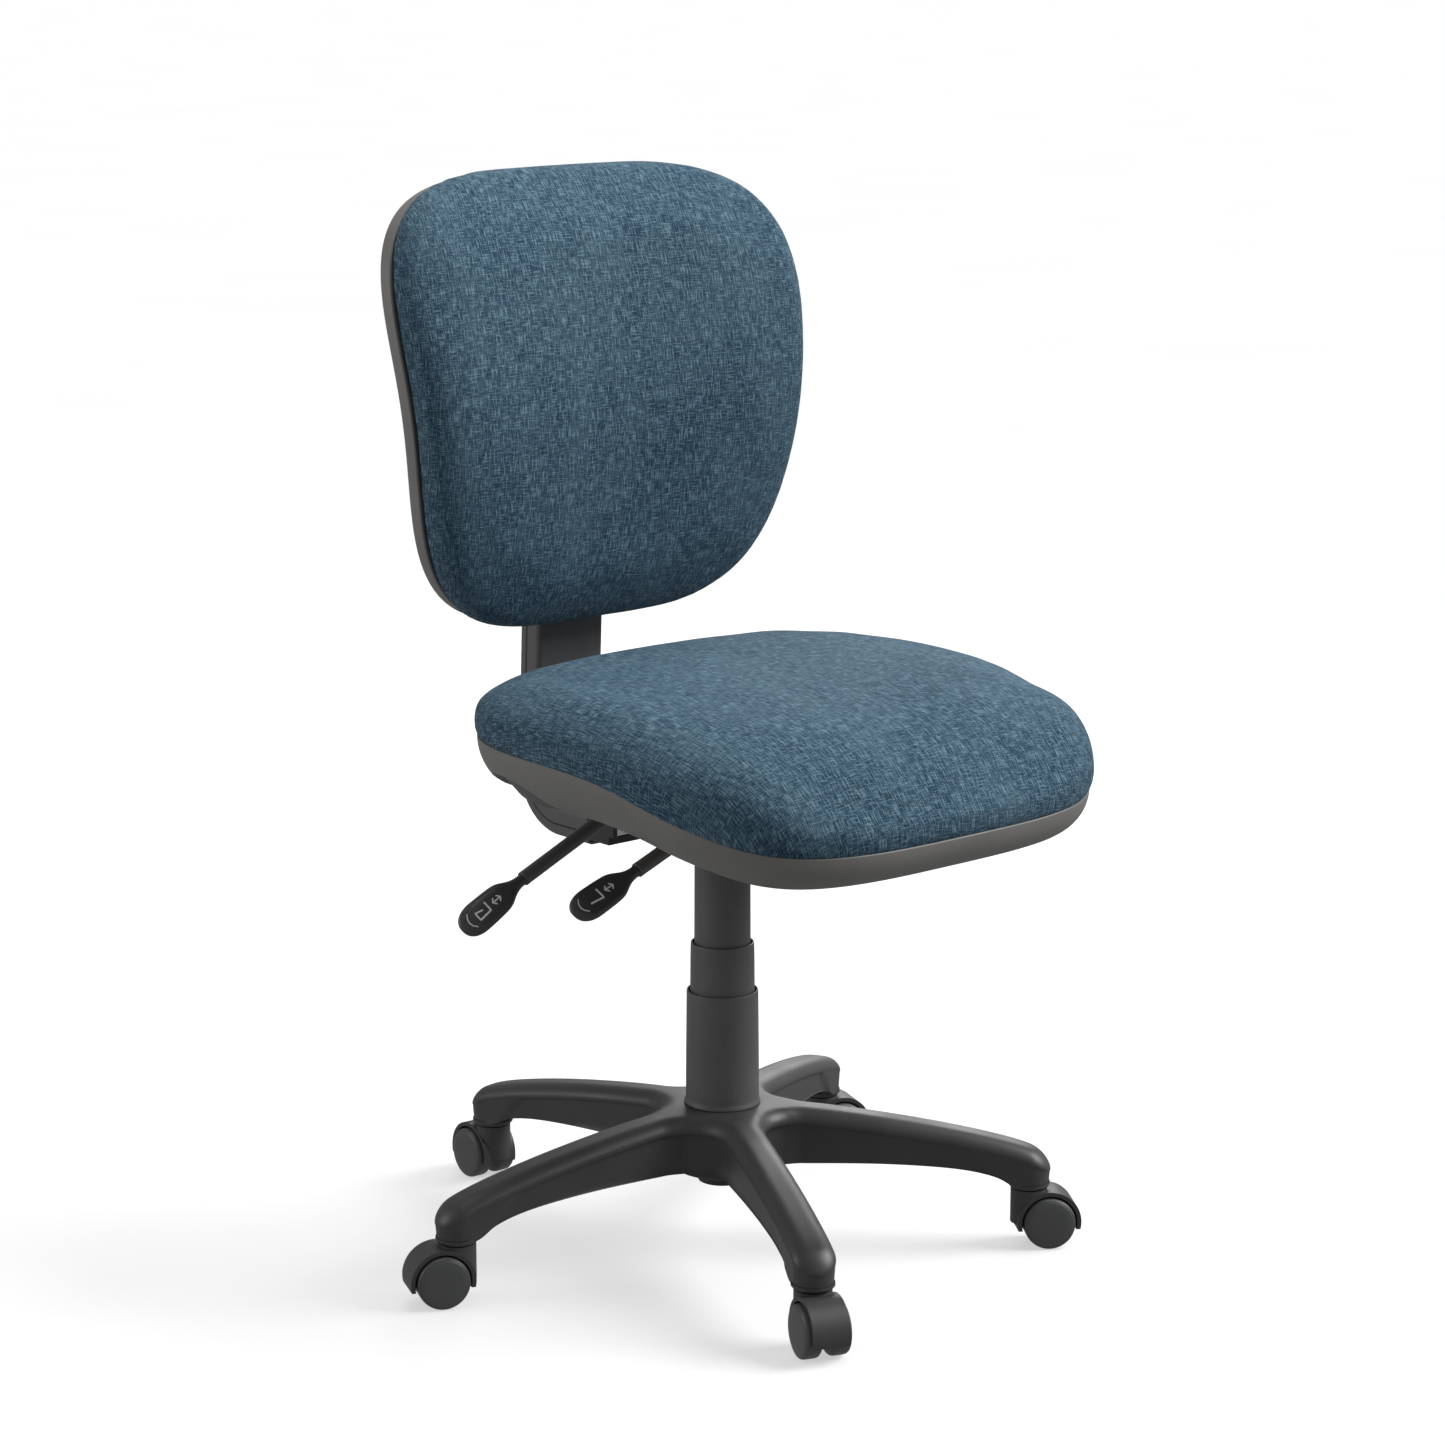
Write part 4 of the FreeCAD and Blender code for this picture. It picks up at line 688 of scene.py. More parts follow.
@dataclass(frozen=True)
class Filling:
    """How a pad is filled: cloth blown taut from inside without gravity, its movement evened and held back.

    Attributes:
        cap: Furthest that any point may move, in metres.
        voxel: Size of the cloth's faces, in metres.
        frames: Steps of the simulation.
        quality: Smaller steps inside each of them.
        pressure: Push from inside.
        mass: Mass of each point.
        stretch: Stiffness against stretching and squeezing.
        bend: Stiffness against bending.
        rounds: How many times the movement is evened.
    """

    cap: float
    voxel: float = 5 * MM
    frames: int = 20
    quality: int = 6
    pressure: float = 4.0
    mass: float = 0.3
    stretch: float = 20.0
    bend: float = 4.0
    rounds: int = 30

    def set_cloth(self, piece: bpy.types.Object) -> None:
        """Put the cloth on a piece that has a point group named 'held'."""
        cloth = piece.modifiers.new("filling", "CLOTH")
        cloth.settings.quality = self.quality
        cloth.settings.mass = self.mass
        cloth.settings.use_pressure = True
        cloth.settings.uniform_pressure_force = self.pressure
        cloth.settings.tension_stiffness = cloth.settings.compression_stiffness = self.stretch
        cloth.settings.bending_stiffness = self.bend
        cloth.settings.vertex_group_mass = "held"
        cloth.settings.effector_weights.gravity = 0.0
        cloth.collision_settings.use_collision = False
        cloth.point_cache.frame_start, cloth.point_cache.frame_end = 1, self.frames

    def inflate(self, form: Form, name: str, held: Callable[[np.ndarray], np.ndarray]) -> bpy.types.Object:
        """Padded piece: cloth filled from inside until it is taut, then smoothed once.

        Args:
            form: Closed starting form, a little smaller than the finished piece.
            name: Name of the piece.
            held: Function of the points that says which of them stay where they are.

        Returns:
            The finished mesh object.
        """
        piece = form.to_object(name)
        scene = bpy.context.scene
        remesh = piece.modifiers.new("even_faces", "REMESH")
        remesh.mode, remesh.voxel_size = "VOXEL", self.voxel
        even = bpy.data.meshes.new_from_object(piece.evaluated_get(bpy.context.evaluated_depsgraph_get()))
        piece.modifiers.clear()
        piece.data = even
        rest = point_places(even)
        group = piece.vertex_groups.new(name="held")
        group.add(np.flatnonzero(held(rest)).tolist(), 1.0, "REPLACE")
        self.set_cloth(piece)
        for number in range(1, self.frames + 1):
            scene.frame_set(number)
        filled = bpy.data.meshes.new_from_object(piece.evaluated_get(bpy.context.evaluated_depsgraph_get()))
        scene.frame_set(1)
        piece.modifiers.clear()
        piece.vertex_groups.clear()
        shift = evened(filled, point_places(filled) - rest, self.rounds)
        far = np.linalg.norm(shift, axis=1, keepdims=True)
        shift *= self.cap * np.tanh(far / self.cap) / np.maximum(far, 1e-9)
        filled.vertices.foreach_set("co", (rest + shift).ravel())
        piece.data = filled
        filled.name = name
        LOG.info("%s filled: moved %.1f mm on average, %.1f mm at most", name, float(far.mean()) / MM,
                 float(far.max()) / MM)
        filled.polygons.foreach_set("use_smooth", [True] * len(filled.polygons))
        finer = piece.modifiers.new("fine", "SUBSURF")
        finer.levels = finer.render_levels = 1
        return piece


def lay_weave(piece: bpy.types.Object, flat: Callable[[np.ndarray], np.ndarray]) -> None:
    """Store where each point lies on the flat cloth, in metres, as the UV map 'weave'.

    Args:
        piece: Upholstered piece.
        flat: Function from points to (across, along) places on the cloth.
    """
    mesh = piece.data
    place = flat(point_places(mesh))
    corner = np.empty(len(mesh.loops), np.int32)
    mesh.loops.foreach_get("vertex_index", corner)
    layer = mesh.uv_layers.new(name="weave")
    layer.data.foreach_set("uv", place[corner].astype(np.float32).ravel())


def crown_shares(rows: int = 34, pole: float = 0.02) -> np.ndarray:
    """Shares of the way from a pad's middle to its rim: the sine of even steps, so closer near the rim."""
    return np.sin(np.linspace(pole, 1, rows) * math.pi / 2)[:, None, None]


# ------------------------------------------------------------------ seat
@dataclass
class Seat:
    """Seat cushion on its board in a moulded under-shell.

    Attributes:
        half_width: Half of the plan's width.
        half_depth: Half of the plan's depth.
        middle_y: Place of the plan's middle.
        squareness: Exponent of the plan's rounded square.
        seam_y: Places of the seam's height points, front to rear.
        seam_z: Heights of the seam there.
        top_y: Places of the top line's points, front to rear.
        top_z: Heights of the cushion's top there.
        edge_power: Exponent that says how flat the crown stays towards its edge.
        crown_power: Root that rounds the crown over at its edge.
        seam_inset: How far the seam lies inside the plan.
        start_bulge: How far the belly stands out over the seam before filling.
        belly: Height of the widest line above the seam.
        settle: How much lower the start form's top is than the finished one.
        tuck: Shares of the plan at which the floor's rows lie under the seam.
        tuck_drop: How far those rows lie below it, in millimetres.
        filling: How the cushion is filled.
        shell_wall: Wall thickness of the shell.
        bowl: How far the deepest wall bows in.
        bowl_power: Exponent of the bow.
        depth_rear: Depth of the shell at the rear.
        depth_front: Depth at the front.
        floor_inset: Inset at which the shell's floor ends.
        recess_rear: Rear end of the hand recesses.
        recess_front: Front end of the hand recesses.
        recess_rise: How far a recess lifts the wall's edge.
        recess_sag: How far its lower edge hangs below the shell's.
        recess_depth: How far it is scooped in.
        shade_panel: Thickness of the dark panel that lines it and paints the shade that falls in the recess.
    """

    finishes: Finishes
    half_width: float = 254 * MM
    half_depth: float = 252 * MM
    middle_y: float = -85 * MM
    squareness: float = 3.3
    seam_y: tuple[float, ...] = (
        -0.365, -0.315, -0.275, -0.235, -0.195, -0.155, -0.105, -0.045, 0.04, 0.115, 0.195)
    seam_z: tuple[float, ...] = (
        0.465, 0.4665, 0.474, 0.485, 0.495, 0.505, 0.5125, 0.515, 0.515, 0.515, 0.515)
    top_y: tuple[float, ...] = (-0.365, -0.335, -0.299, -0.215, -0.085, 0.065, 0.165, 0.195)
    top_z: tuple[float, ...] = (0.456, 0.492, 0.528, 0.558, 0.567, 0.566, 0.560, 0.555)
    edge_power: float = 8.0
    crown_power: float = 2.7
    seam_inset: float = 6 * MM
    start_bulge: float = 6 * MM
    belly: float = 17 * MM
    settle: float = -1 * MM
    tuck: tuple[float, ...] = (0.985, 0.97, 0.8, 0.5, 0.2, 0.02)
    tuck_drop: tuple[float, ...] = (5, 8, 9, 9, 9, 9)
    filling: Filling = Filling(cap=7 * MM)
    shell_wall: float = 3 * MM
    bowl: float = 50 * MM
    bowl_power: float = 2.0
    depth_rear: float = 50 * MM
    depth_front: float = 32 * MM
    floor_inset: float = 95 * MM
    recess_rear: float = 96 * MM
    recess_front: float = -24 * MM
    recess_rise: float = 25 * MM
    recess_sag: float = 3 * MM
    recess_depth: float = 9 * MM
    shade_panel: float = 1.6 * MM

    def plan(self, angle: np.ndarray, inset: np.ndarray | float = 0.0) -> np.ndarray:
        """Plan of the seat: x and y are cosine and sine to the power 2 / squareness, times the half sizes."""
        x = (self.half_width - inset) * signed_power(np.cos(angle), 2 / self.squareness)
        y = (self.half_depth - inset) * signed_power(np.sin(angle), 2 / self.squareness)
        return np.stack([x, y + self.middle_y], -1)

    def seam(self, y: np.ndarray) -> np.ndarray:
        """Height of the seam between cloth and shell."""
        return spline(y, self.seam_y, self.seam_z)

    def top(self, y: np.ndarray) -> np.ndarray:
        """Height of the cushion's middle line."""
        return spline(y, self.top_y, self.top_z)

    def cushion_form(self) -> Form:
        """Closed start form: a crowned top, a belly out over the seam, and a floor tucked under it.

        The crown's height is belly + (top - belly) (1 - rho^p)^(1/q) above the seam, and the belly is a
        quarter ellipse from its widest line back in to the seam.
        """
        angle = even_angles(self.plan, 180)
        rho = crown_shares()
        rim = self.plan(angle, self.seam_inset)
        wide = self.plan(angle, self.seam_inset - self.start_bulge)
        centre = np.array([0, self.middle_y])
        flat = centre + (wide - centre) * rho
        share = (1 - rho[..., 0] ** self.edge_power) ** (1 / self.crown_power)
        base = self.seam(flat[..., 1]) + self.belly
        crown = base + (self.top(flat[..., 1]) + self.settle - base) * share
        turn = np.linspace(0, math.pi / 2, 7)[1:, None]
        side = rim + (wide - rim) * np.cos(turn)[..., None]
        side_height = self.seam(side[..., 1]) + self.belly * (1 - np.sin(turn))
        tuck = centre + (rim - centre) * np.array(self.tuck)[:, None, None]
        floor = self.seam(tuck[..., 1]) - np.array(self.tuck_drop)[:, None] * MM
        rows = [np.concatenate([plan, height[..., None]], -1)
                for plan, height in ((flat, crown), (side, side_height), (tuck, floor))]
        return Form.from_grid(np.concatenate(rows), Ends.POLE)

    def outward(self, x: np.ndarray, y: np.ndarray) -> np.ndarray:
        """Unit direction in plan away from the middle: the slope of the rounded square."""
        power = self.squareness - 1
        return unit(np.stack([signed_power(x / self.half_width, power),
                              signed_power((y - self.middle_y) / self.half_depth, power)], -1))

    def weave_place(self, points: np.ndarray) -> np.ndarray:
        """Flat cloth place: across is x, along is the top line's length, both running on down the sides."""
        x, y, z = points.T
        line = np.linspace(-0.4, 0.25, 400)
        length = distance_along(np.stack([line, self.top(line)], -1))
        down = np.maximum(self.top(y) - z, 0)[:, None] * self.outward(x, y)
        return np.stack([x, np.interp(y, line, length)], -1) + down

    def cushion(self) -> None:
        """Foam and cloth cushion, filled by simulation."""
        def held(points: np.ndarray) -> np.ndarray:
            """Points at and below the seam stay in the shell's rim."""
            return points[:, 2] < self.seam(points[:, 1]) + 1 * MM

        piece = self.filling.inflate(self.cushion_form(), "seat_upholstery", held)
        lay_weave(piece, self.weave_place)
        show(piece, "seat", self.finishes.cloth, ["seat_cushion"])

    def shell_form(self) -> Form:
        """Closed shell: rim, bowl-shaped wall, a scooped hand recess on each side, floor, and back up inside.

        The wall's inset is bowl (1 - sqrt(1 - part^p)) at a share of its depth. In a recess the wall ends
        higher, at a rounded edge, and a scoop runs from there in and down to a lower edge that sags.
        """
        walls, wall = ShellWalls(self), self.shell_wall
        row, bow, seam, edge, foot = walls.row, walls.bow, walls.seam, walls.edge, walls.foot
        fall = edge * walls.depth
        under, over = walls.lip - 0.8 * MM, walls.lip + 2 * MM
        rim = [row(0.2 * wall, seam), row(0.0, seam - 0.8 * MM)]
        outer = [row(bow(part * edge), seam - part * fall) for part in np.linspace(0.08, 1, 14)]
        scoop = [row(walls.scoop_inset(part), walls.scoop_height(part))
                 for part in (0.0, 0.3, 0.6, 0.85, 1.0)]
        floor = [row(foot + 3 * MM, under), row(self.floor_inset, under), row(self.floor_inset, over),
                 row(foot + 4 * MM, over), row(walls.scoop + 3.5 * MM, seam - fall + 3.5 * MM)]
        inner = [row(bow(part * edge) + wall, seam - part * (fall - 5 * MM))
                 for part in np.linspace(0.9, 0.1, 8)]
        return Form.from_grid(np.stack([*rim, *outer, *scoop, *floor, *inner, row(wall, seam)]), Ends.JOINED)

    def recess_shade_form(self, side: int) -> Form:
        """Thin dark panel that lines a hand recess, following its scoop; its dark plastic is painted shade.

        Args:
            side: -1 for the lever side, 1 for the other.

        Returns:
            The closed panel: at each place along the recess, its outer face down and its inner face back up.
        """
        walls = ShellWalls(self)
        parts = np.linspace(0.02, 0.98, 7)
        loop = [(part, -self.shade_panel / 2) for part in parts] + [(part, self.shade_panel / 2) for part in parts[::-1]]
        rows = [walls.row(walls.scoop_inset(part) + shift, walls.scoop_height(part)) for part, shift in loop]
        wanted = (walls.rise > 2 * MM) & (walls.rim[:, 0] * side > 0)
        order = np.argsort(walls.y[wanted])
        return Form.from_grid(np.stack(rows, 1)[wanted][order], Ends.FLAT)

    def shell(self) -> None:
        """Textured under-shell with a smooth dark panel in each hand recess; that panel's darker plastic is
        painted shade.
        """
        piece = self.shell_form().to_object("seat_under_shell", 30)
        show(piece, "seat", self.finishes.shell, ["seat_shell"])
        # Painted shade: each hand recess gets a panel of the darker base plastic so that it looks shaded.
        shade_panel = self.recess_shade_form(-1).joined(self.recess_shade_form(1)).to_object("seat_recess_painted_shade", 30)
        show(shade_panel, "seat", self.finishes.base)

    def build(self) -> None:
        """Make the seat's pieces."""
        self.cushion()
        self.shell()


class ShellWalls:
    """Sizes of the seat shell's wall at even steps round its rim, all as arrays.

    Attributes:
        rim: Plan points of the rim.
        y: Place of each front to back.
        out: Unit direction outwards at each.
        seam: Height of the rim.
        depth: Depth of the wall.
        rise: How far a hand recess lifts the wall's edge.
        lip: Height of the lowest line.
        edge: Share of the depth at which the outer wall ends.
        scoop: Inset where a recess's scoop starts.
        foot: Inset of the lowest line.
    """

    def __init__(self, seat: Seat, count: int = 720) -> None:
        """Work out the sizes.

        Args:
            seat: Seat whose shell this is.
            count: Steps round the rim.
        """
        self.seat = seat
        self.rim = seat.plan(even_angles(seat.plan, count), seat.seam_inset)
        self.y = self.rim[:, 1]
        self.seam = seat.seam(self.y)
        lowest, highest = seat.seam_z[0], seat.seam_z[-1]
        front_share = np.clip((highest - self.seam) / (highest - lowest), 0, 1)
        self.depth = seat.depth_rear + (seat.depth_front - seat.depth_rear) * front_share
        middle = (seat.recess_rear + seat.recess_front) / 2
        half = (seat.recess_rear - seat.recess_front) / 2
        on_side = np.abs(self.rim[:, 0]) > seat.half_width * 0.7
        inside = np.clip(1 - ((self.y - middle) / half) ** 2, 0, 1) * on_side
        self.rise = seat.recess_rise * np.sqrt(inside)
        self.lip = self.seam - self.depth - seat.recess_sag * inside
        self.out = seat.outward(self.rim[:, 0], self.y)
        self.edge = 1 - self.rise / self.depth
        step = seat.recess_depth * np.clip(self.rise / (6 * MM), 0, 1) + 0.3 * MM
        self.scoop = self.bow(self.edge) + step
        self.foot = np.maximum(self.bow(np.ones(count)) + 0.6 * MM, self.scoop + 0.3 * MM)

    def row(self, inset: np.ndarray | float, height: np.ndarray) -> np.ndarray:
        """Rim moved in by an inset at given heights."""
        flat = self.rim - self.out * np.broadcast_to(inset, self.y.shape)[:, None]
        return np.concatenate([flat, np.broadcast_to(height, self.y.shape)[:, None]], -1)

    def bow(self, part: np.ndarray) -> np.ndarray:
        """Inset of the bowl-shaped wall at a share of its depth; shallower walls bow in less."""
        share = self.depth / self.seat.depth_rear
        return self.seat.bowl * share * (1 - np.sqrt(1 - (part * 0.96) ** self.seat.bowl_power))

    def scoop_inset(self, part: float) -> np.ndarray:
        """Inset on the scoop at a share of the way from its upper edge to the lowest line."""
        return self.scoop + (self.foot - self.scoop) * part

    def scoop_height(self, part: float) -> np.ndarray:
        """Height on the scoop at a share of the way from its upper edge to the lowest line."""
        upper = self.seam - self.edge * self.depth
        return upper + (self.lip - upper) * part


# ------------------------------------------------------------------ upright
@dataclass
class Upright:
    """Bent back bar in a two-part plastic cover.

    Attributes:
        corner_y: Where the bar's two straight lines would meet.
        corner_z: Height of that corner.
        lean: Forward lean of the upper part in degrees.
        length: Length of the upper part from the corner.
        elbow: Bend radius of the middle line.
        start_y: Where the cover starts under the seat.
        width: Width of the cover.
        depth: Depth of the cover.
        wall: Wall thickness.
        joint: How far the joint of the halves lies behind the middle line.
        gap: Half of the gap between the halves.
        chamfer: Bevel of each half's edge at the joint.
        corner_radius: Rounding of the long corners.
    """

    finishes: Finishes
    corner_y: float = 249.1 * MM
    corner_z: float = 386 * MM
    lean: float = 2.6
    length: float = 416 * MM
    elbow: float = 46 * MM
    start_y: float = 152 * MM
    width: float = 82 * MM
    depth: float = 31 * MM
    wall: float = 2.5 * MM
    joint: float = 3.5 * MM
    gap: float = 0.35 * MM
    chamfer: float = 0.9 * MM
    corner_radius: float = 6 * MM

    def path(self) -> tuple[np.ndarray, np.ndarray]:
        """Middle line in the chair's centre plane: straight back, round the elbow, and up.

        Returns:
            Points, and the unit direction away from the inside of the bend at each.
        """
        turn = math.radians(90 + self.lean)
        reach = self.elbow * math.tan(turn / 2)
        low = np.array([0, self.corner_y - reach, self.corner_z])
        centre = low + [0, 0, self.elbow]
        bend = np.linspace(0, turn, 20)[:, None]
        out = np.sin(bend) * [0, 1, 0] - np.cos(bend) * [0, 0, 1]
        arc = centre + out * self.elbow
        up = np.array([0, -math.sin(math.radians(self.lean)), math.cos(math.radians(self.lean))])
        end = np.array([0, self.corner_y, self.corner_z]) + up * self.length
        before = low + (np.array([0, self.start_y, self.corner_z]) - low) * np.linspace(1, 0, 4)[:-1, None]
        after = arc[-1] + (end - arc[-1]) * np.linspace(0, 1, 24)[1:, None]
        points = np.concatenate([before, arc, after])
        sides = np.concatenate([np.repeat(out[:1], len(before), 0), out, np.repeat(out[-1:], len(after), 0)])
        return points, sides

    def cover(self, front: bool) -> Form:
        """C-shaped half cover: rounded outside, open towards the joint, carried along the path."""
        half, radius, wall, way = self.width / 2, self.corner_radius, self.wall, -1 if front else 1
        far = way * self.depth / 2
        near = self.joint + way * self.gap
        bevel, step = near + way * self.chamfer, far - way * wall
        loop = rounded_loop([
            (half - self.chamfer, near, 0), (half, bevel, 0), (half, far, radius), (-half, far, radius),
            (-half, bevel, 0), (-half + self.chamfer, near, 0), (-half + wall, near, 0),
            (-half + wall, step, radius - wall), (half - wall, step, radius - wall), (half - wall, near, 0)])
        points, sides = self.path()
        across = np.tile([1.0, 0, 0], (len(points), 1))
        return carried(loop, points, across, sides, Ends.FLAT)

    def build(self) -> None:
        """Make both cover halves and the softened bar."""
        for front, node in ((True, "upright_cover_front"), (False, "upright_cover_rear")):
            piece = self.cover(front).to_object(node.replace("upright", "moulded"), 30)
            show(piece, "back_arm", self.finishes.cover, [node])
        bar = softened("j_bar", "bent_back_bar", 1 * MM)
        show(bar, "back_arm", self.finishes.coated, ["j_bar"])


# ------------------------------------------------------------------ backrest
@dataclass(frozen=True)
class SlideHousing:
    """Raised housing round the height slide, on the rear of the back shell.

    Attributes:
        half_width: Half of its width.
        front: Its open side, forward of the bar's middle line.
        rear: Its back, behind that line.
        radius: Rounding of its rear corners.
        wall: Wall thickness.
        start: Distance up the upright where it starts.
        end: Distance where it has closed over.
        dome: Length over which its top rounds over.
        dome_power: Exponent of that rounding.
        taper: How much narrower each side is at the very top.
        least_depth: Share of the depth left at the very top.
        least_radius: Share of the corner rounding left there.
    """

    half_width: float = 49.5 * MM
    front: float = -26 * MM
    rear: float = 24 * MM
    radius: float = 12 * MM
    wall: float = 3 * MM
    start: float = 232 * MM
    end: float = 469 * MM
    dome: float = 26 * MM
    dome_power: float = 2.4
    taper: float = 16 * MM
    least_depth: float = 0.08
    least_radius: float = 0.3

    def section(self, share: float) -> np.ndarray:
        """U-shaped section whose depth, width and corners shrink with a share from one to zero."""
        front, wall = self.front, self.wall
        back = front + (self.rear - front) * (self.least_depth + (1 - self.least_depth) * share)
        half = self.half_width - self.taper * (1 - share)
        radius = self.radius * (self.least_radius + (1 - self.least_radius) * share)
        inner = max(radius - wall, 0.1 * MM)
        return rounded_loop([
            (half, front, 0), (half, back, radius), (-half, back, radius), (-half, front, 0),
            (-half + wall, front, 0), (-half + wall, back - wall, inner), (half - wall, back - wall, inner),
            (half - wall, front, 0)], 8)

    def form(self, upright: Upright) -> Form:
        """Section carried up the upright; the share is a quarter superellipse over the dome's length."""
        lift = np.linspace(self.start, self.end, 46)
        left = np.clip((self.end - lift) / self.dome, 0, 1)
        shares = np.sqrt(np.clip(1 - (1 - left) ** self.dome_power, 0, 1))
        lean = math.radians(upright.lean)
        up = np.array([0, -math.sin(lean), math.cos(lean)])
        backward = np.array([0, math.cos(lean), math.sin(lean)])
        path = np.array([0, upright.corner_y, upright.corner_z]) + up * lift[:, None]
        loops = np.stack([self.section(share) for share in shares])
        across = np.tile([1.0, 0, 0], (len(lift), 1))
        return carried(loops, path, across, np.tile(backward, (len(lift), 1)), Ends.FLAT)


@dataclass
class Backrest:
    """Curved back pad and its moulded rear shell with the housing round the height slide.

    Attributes:
        upright: Upright that the back slides on.
        half_width: Half width at mid height.
        widening: Extra half width at the top, lost again at the bottom.
        middle_z: Mid height.
        half_height: Half of the height.
        squareness: Exponent of the outline's rounded square.
        wrap: How much the edges stand forward of the middle.
        profile_z: Heights of the side profile's points.
        profile_y: Places of the seam surface's edge there.
        thickness: Thickness of the pad at its middle.
        inset: How far the seam lies inside the outline.
        start_bulge: How far the belly stands out over the seam before filling.
        belly: Distance of the widest line forward of the seam.
        settle: How much thicker the start form is than the finished one.
        edge_power: Exponent that says how flat the crown stays towards its edge.
        crown_power: Root that rounds the crown over at its edge.
        tuck: Shares of the outline at which the pad's rear rows lie.
        tuck_back: How far those rows lie behind the seam surface, in millimetres.
        filling: How the pad is filled.
        shell_depth: Depth of the rear shell.
        shell_widen: How much wider each side of the shell is than the outline.
        shell_lower: How much lower its top and higher its foot is.
        shell_insets: Insets of the shell's nearly flat rear rows, in millimetres.
        shell_radius: Rounding of the shell's rear edge, in millimetres.
        shell_round: Share of the shell's depth that the rounding takes up.
        front_tuck: Shares of the outline at which the shell's front rows lie.
        front_back: How far those rows lie behind the seam surface, in millimetres.
        housing: Housing round the height slide.
    """

    finishes: Finishes
    upright: Upright
    half_width: float = 230 * MM
    widening: float = 26 * MM
    middle_z: float = 801.5 * MM
    half_height: float = 221.5 * MM
    squareness: float = 3.7
    wrap: float = 20 * MM
    profile_z: tuple[float, ...] = (0.54, 0.586, 0.65, 0.77, 0.84, 0.9, 0.945, 1.024, 1.07)
    profile_y: tuple[float, ...] = (0.2, 0.191, 0.181, 0.167, 0.171, 0.183, 0.195, 0.222, 0.24)
    thickness: float = 46 * MM
    inset: float = 1.5 * MM
    start_bulge: float = 2.5 * MM
    belly: float = 13 * MM
    settle: float = -3 * MM
    edge_power: float = 8.0
    crown_power: float = 2.7
    tuck: tuple[float, ...] = (0.992, 0.98, 0.8, 0.5, 0.2, 0.02)
    tuck_back: tuple[float, ...] = (1.5, 2.5, 3, 3, 3, 3)
    filling: Filling = Filling(cap=6 * MM)
    shell_depth: float = 19 * MM
    shell_widen: float = 3 * MM
    shell_lower: float = 8 * MM
    shell_insets: tuple[float, ...] = (200, 150, 100, 60, 30, 14)
    shell_radius: float = 7
    shell_round: float = 7 / 18
    front_tuck: tuple[float, ...] = (0.995, 0.985, 0.9, 0.6, 0.3, 0.02)
    front_back: tuple[float, ...] = (-0.4, 0.5, 4, 4, 4, 4)
    housing: SlideHousing = SlideHousing()

    def outline(self, angle: np.ndarray, inset: float = 0.0) -> np.ndarray:
        """Front view: z is the sine and x the cosine to the power 2 / squareness, widening upwards."""
        rise = signed_power(np.sin(angle), 2 / self.squareness)
        half = self.half_width + self.widening * rise - inset
        x = half * signed_power(np.cos(angle), 2 / self.squareness)
        return np.stack([x, self.middle_z + (self.half_height - inset) * rise], -1)

    def sheet(self, x: np.ndarray, z: np.ndarray) -> np.ndarray:
        """Seam surface: the side profile plus a wrap that falls with the square of x."""
        return spline(z, self.profile_z, self.profile_y) + self.wrap * (1 - (x / self.half_width) ** 2)

    def layer(self, flat: np.ndarray, offset: np.ndarray | float) -> np.ndarray:
        """Points of the seam surface under flat (x, z) places, moved back by an offset."""
        x, z = flat[..., 0], flat[..., 1]
        return np.stack([x, self.sheet(x, z) + offset, z], -1)

    def pad_form(self) -> Form:
        """Closed start form: a crowned front, a belly out over the shell's edge, and a flat rear.

        The crown's forward offset is belly + (thickness - belly) (1 - rho^p)^(1/q), and the belly is a
        quarter ellipse from its widest line back in to the seam.
        """
        angle = even_angles(self.outline, 190)
        rim = self.outline(angle, self.inset)
        wide = self.outline(angle, self.inset - self.start_bulge)
        centre = np.array([0, self.middle_z])
        rho = crown_shares()
        share = (1 - rho[..., 0] ** self.edge_power) ** (1 / self.crown_power)
        front = self.layer(centre + (wide - centre) * rho,
                           -self.belly - (self.thickness + self.settle - self.belly) * share)
        turn = np.linspace(0, math.pi / 2, 6)[1:, None]
        side = self.layer(rim + (wide - rim) * np.cos(turn)[..., None], -self.belly * (1 - np.sin(turn)))
        rear = self.layer(centre + (rim - centre) * np.array(self.tuck)[:, None, None],
                          np.array(self.tuck_back)[:, None] * MM)
        return Form.from_grid(np.concatenate([front, side, rear]), Ends.POLE)

    def weave_place(self, points: np.ndarray) -> np.ndarray:
        """Flat cloth place: across is x, along is the side profile's length, both running over the edges."""
        x, y, z = points.T
        line = np.linspace(0.5, 1.1, 400)
        length = distance_along(np.stack([line, spline(line, self.profile_z, self.profile_y)], -1))
        power = self.squareness - 1
        rise = (z - self.middle_z) / self.half_height
        out = unit(np.stack([signed_power(x / (self.half_width + self.widening * rise), power),
                             signed_power(rise, power)], -1))
        over = np.maximum(y - self.sheet(x, z) + self.thickness, 0)[:, None] * out
        return np.stack([x, np.interp(z, line, length)], -1) + over

    def pad(self) -> None:
        """Foam and cloth pad, filled by simulation."""
        def held(points: np.ndarray) -> np.ndarray:
            """Points at the seam surface stay against the shell."""
            return points[:, 1] > self.sheet(points[:, 0], points[:, 2]) - 1 * MM

        piece = self.filling.inflate(self.pad_form(), "back_upholstery", held)
        lay_weave(piece, self.weave_place)
        show(piece, "backrest", self.finishes.cloth, ["back_cushion"])

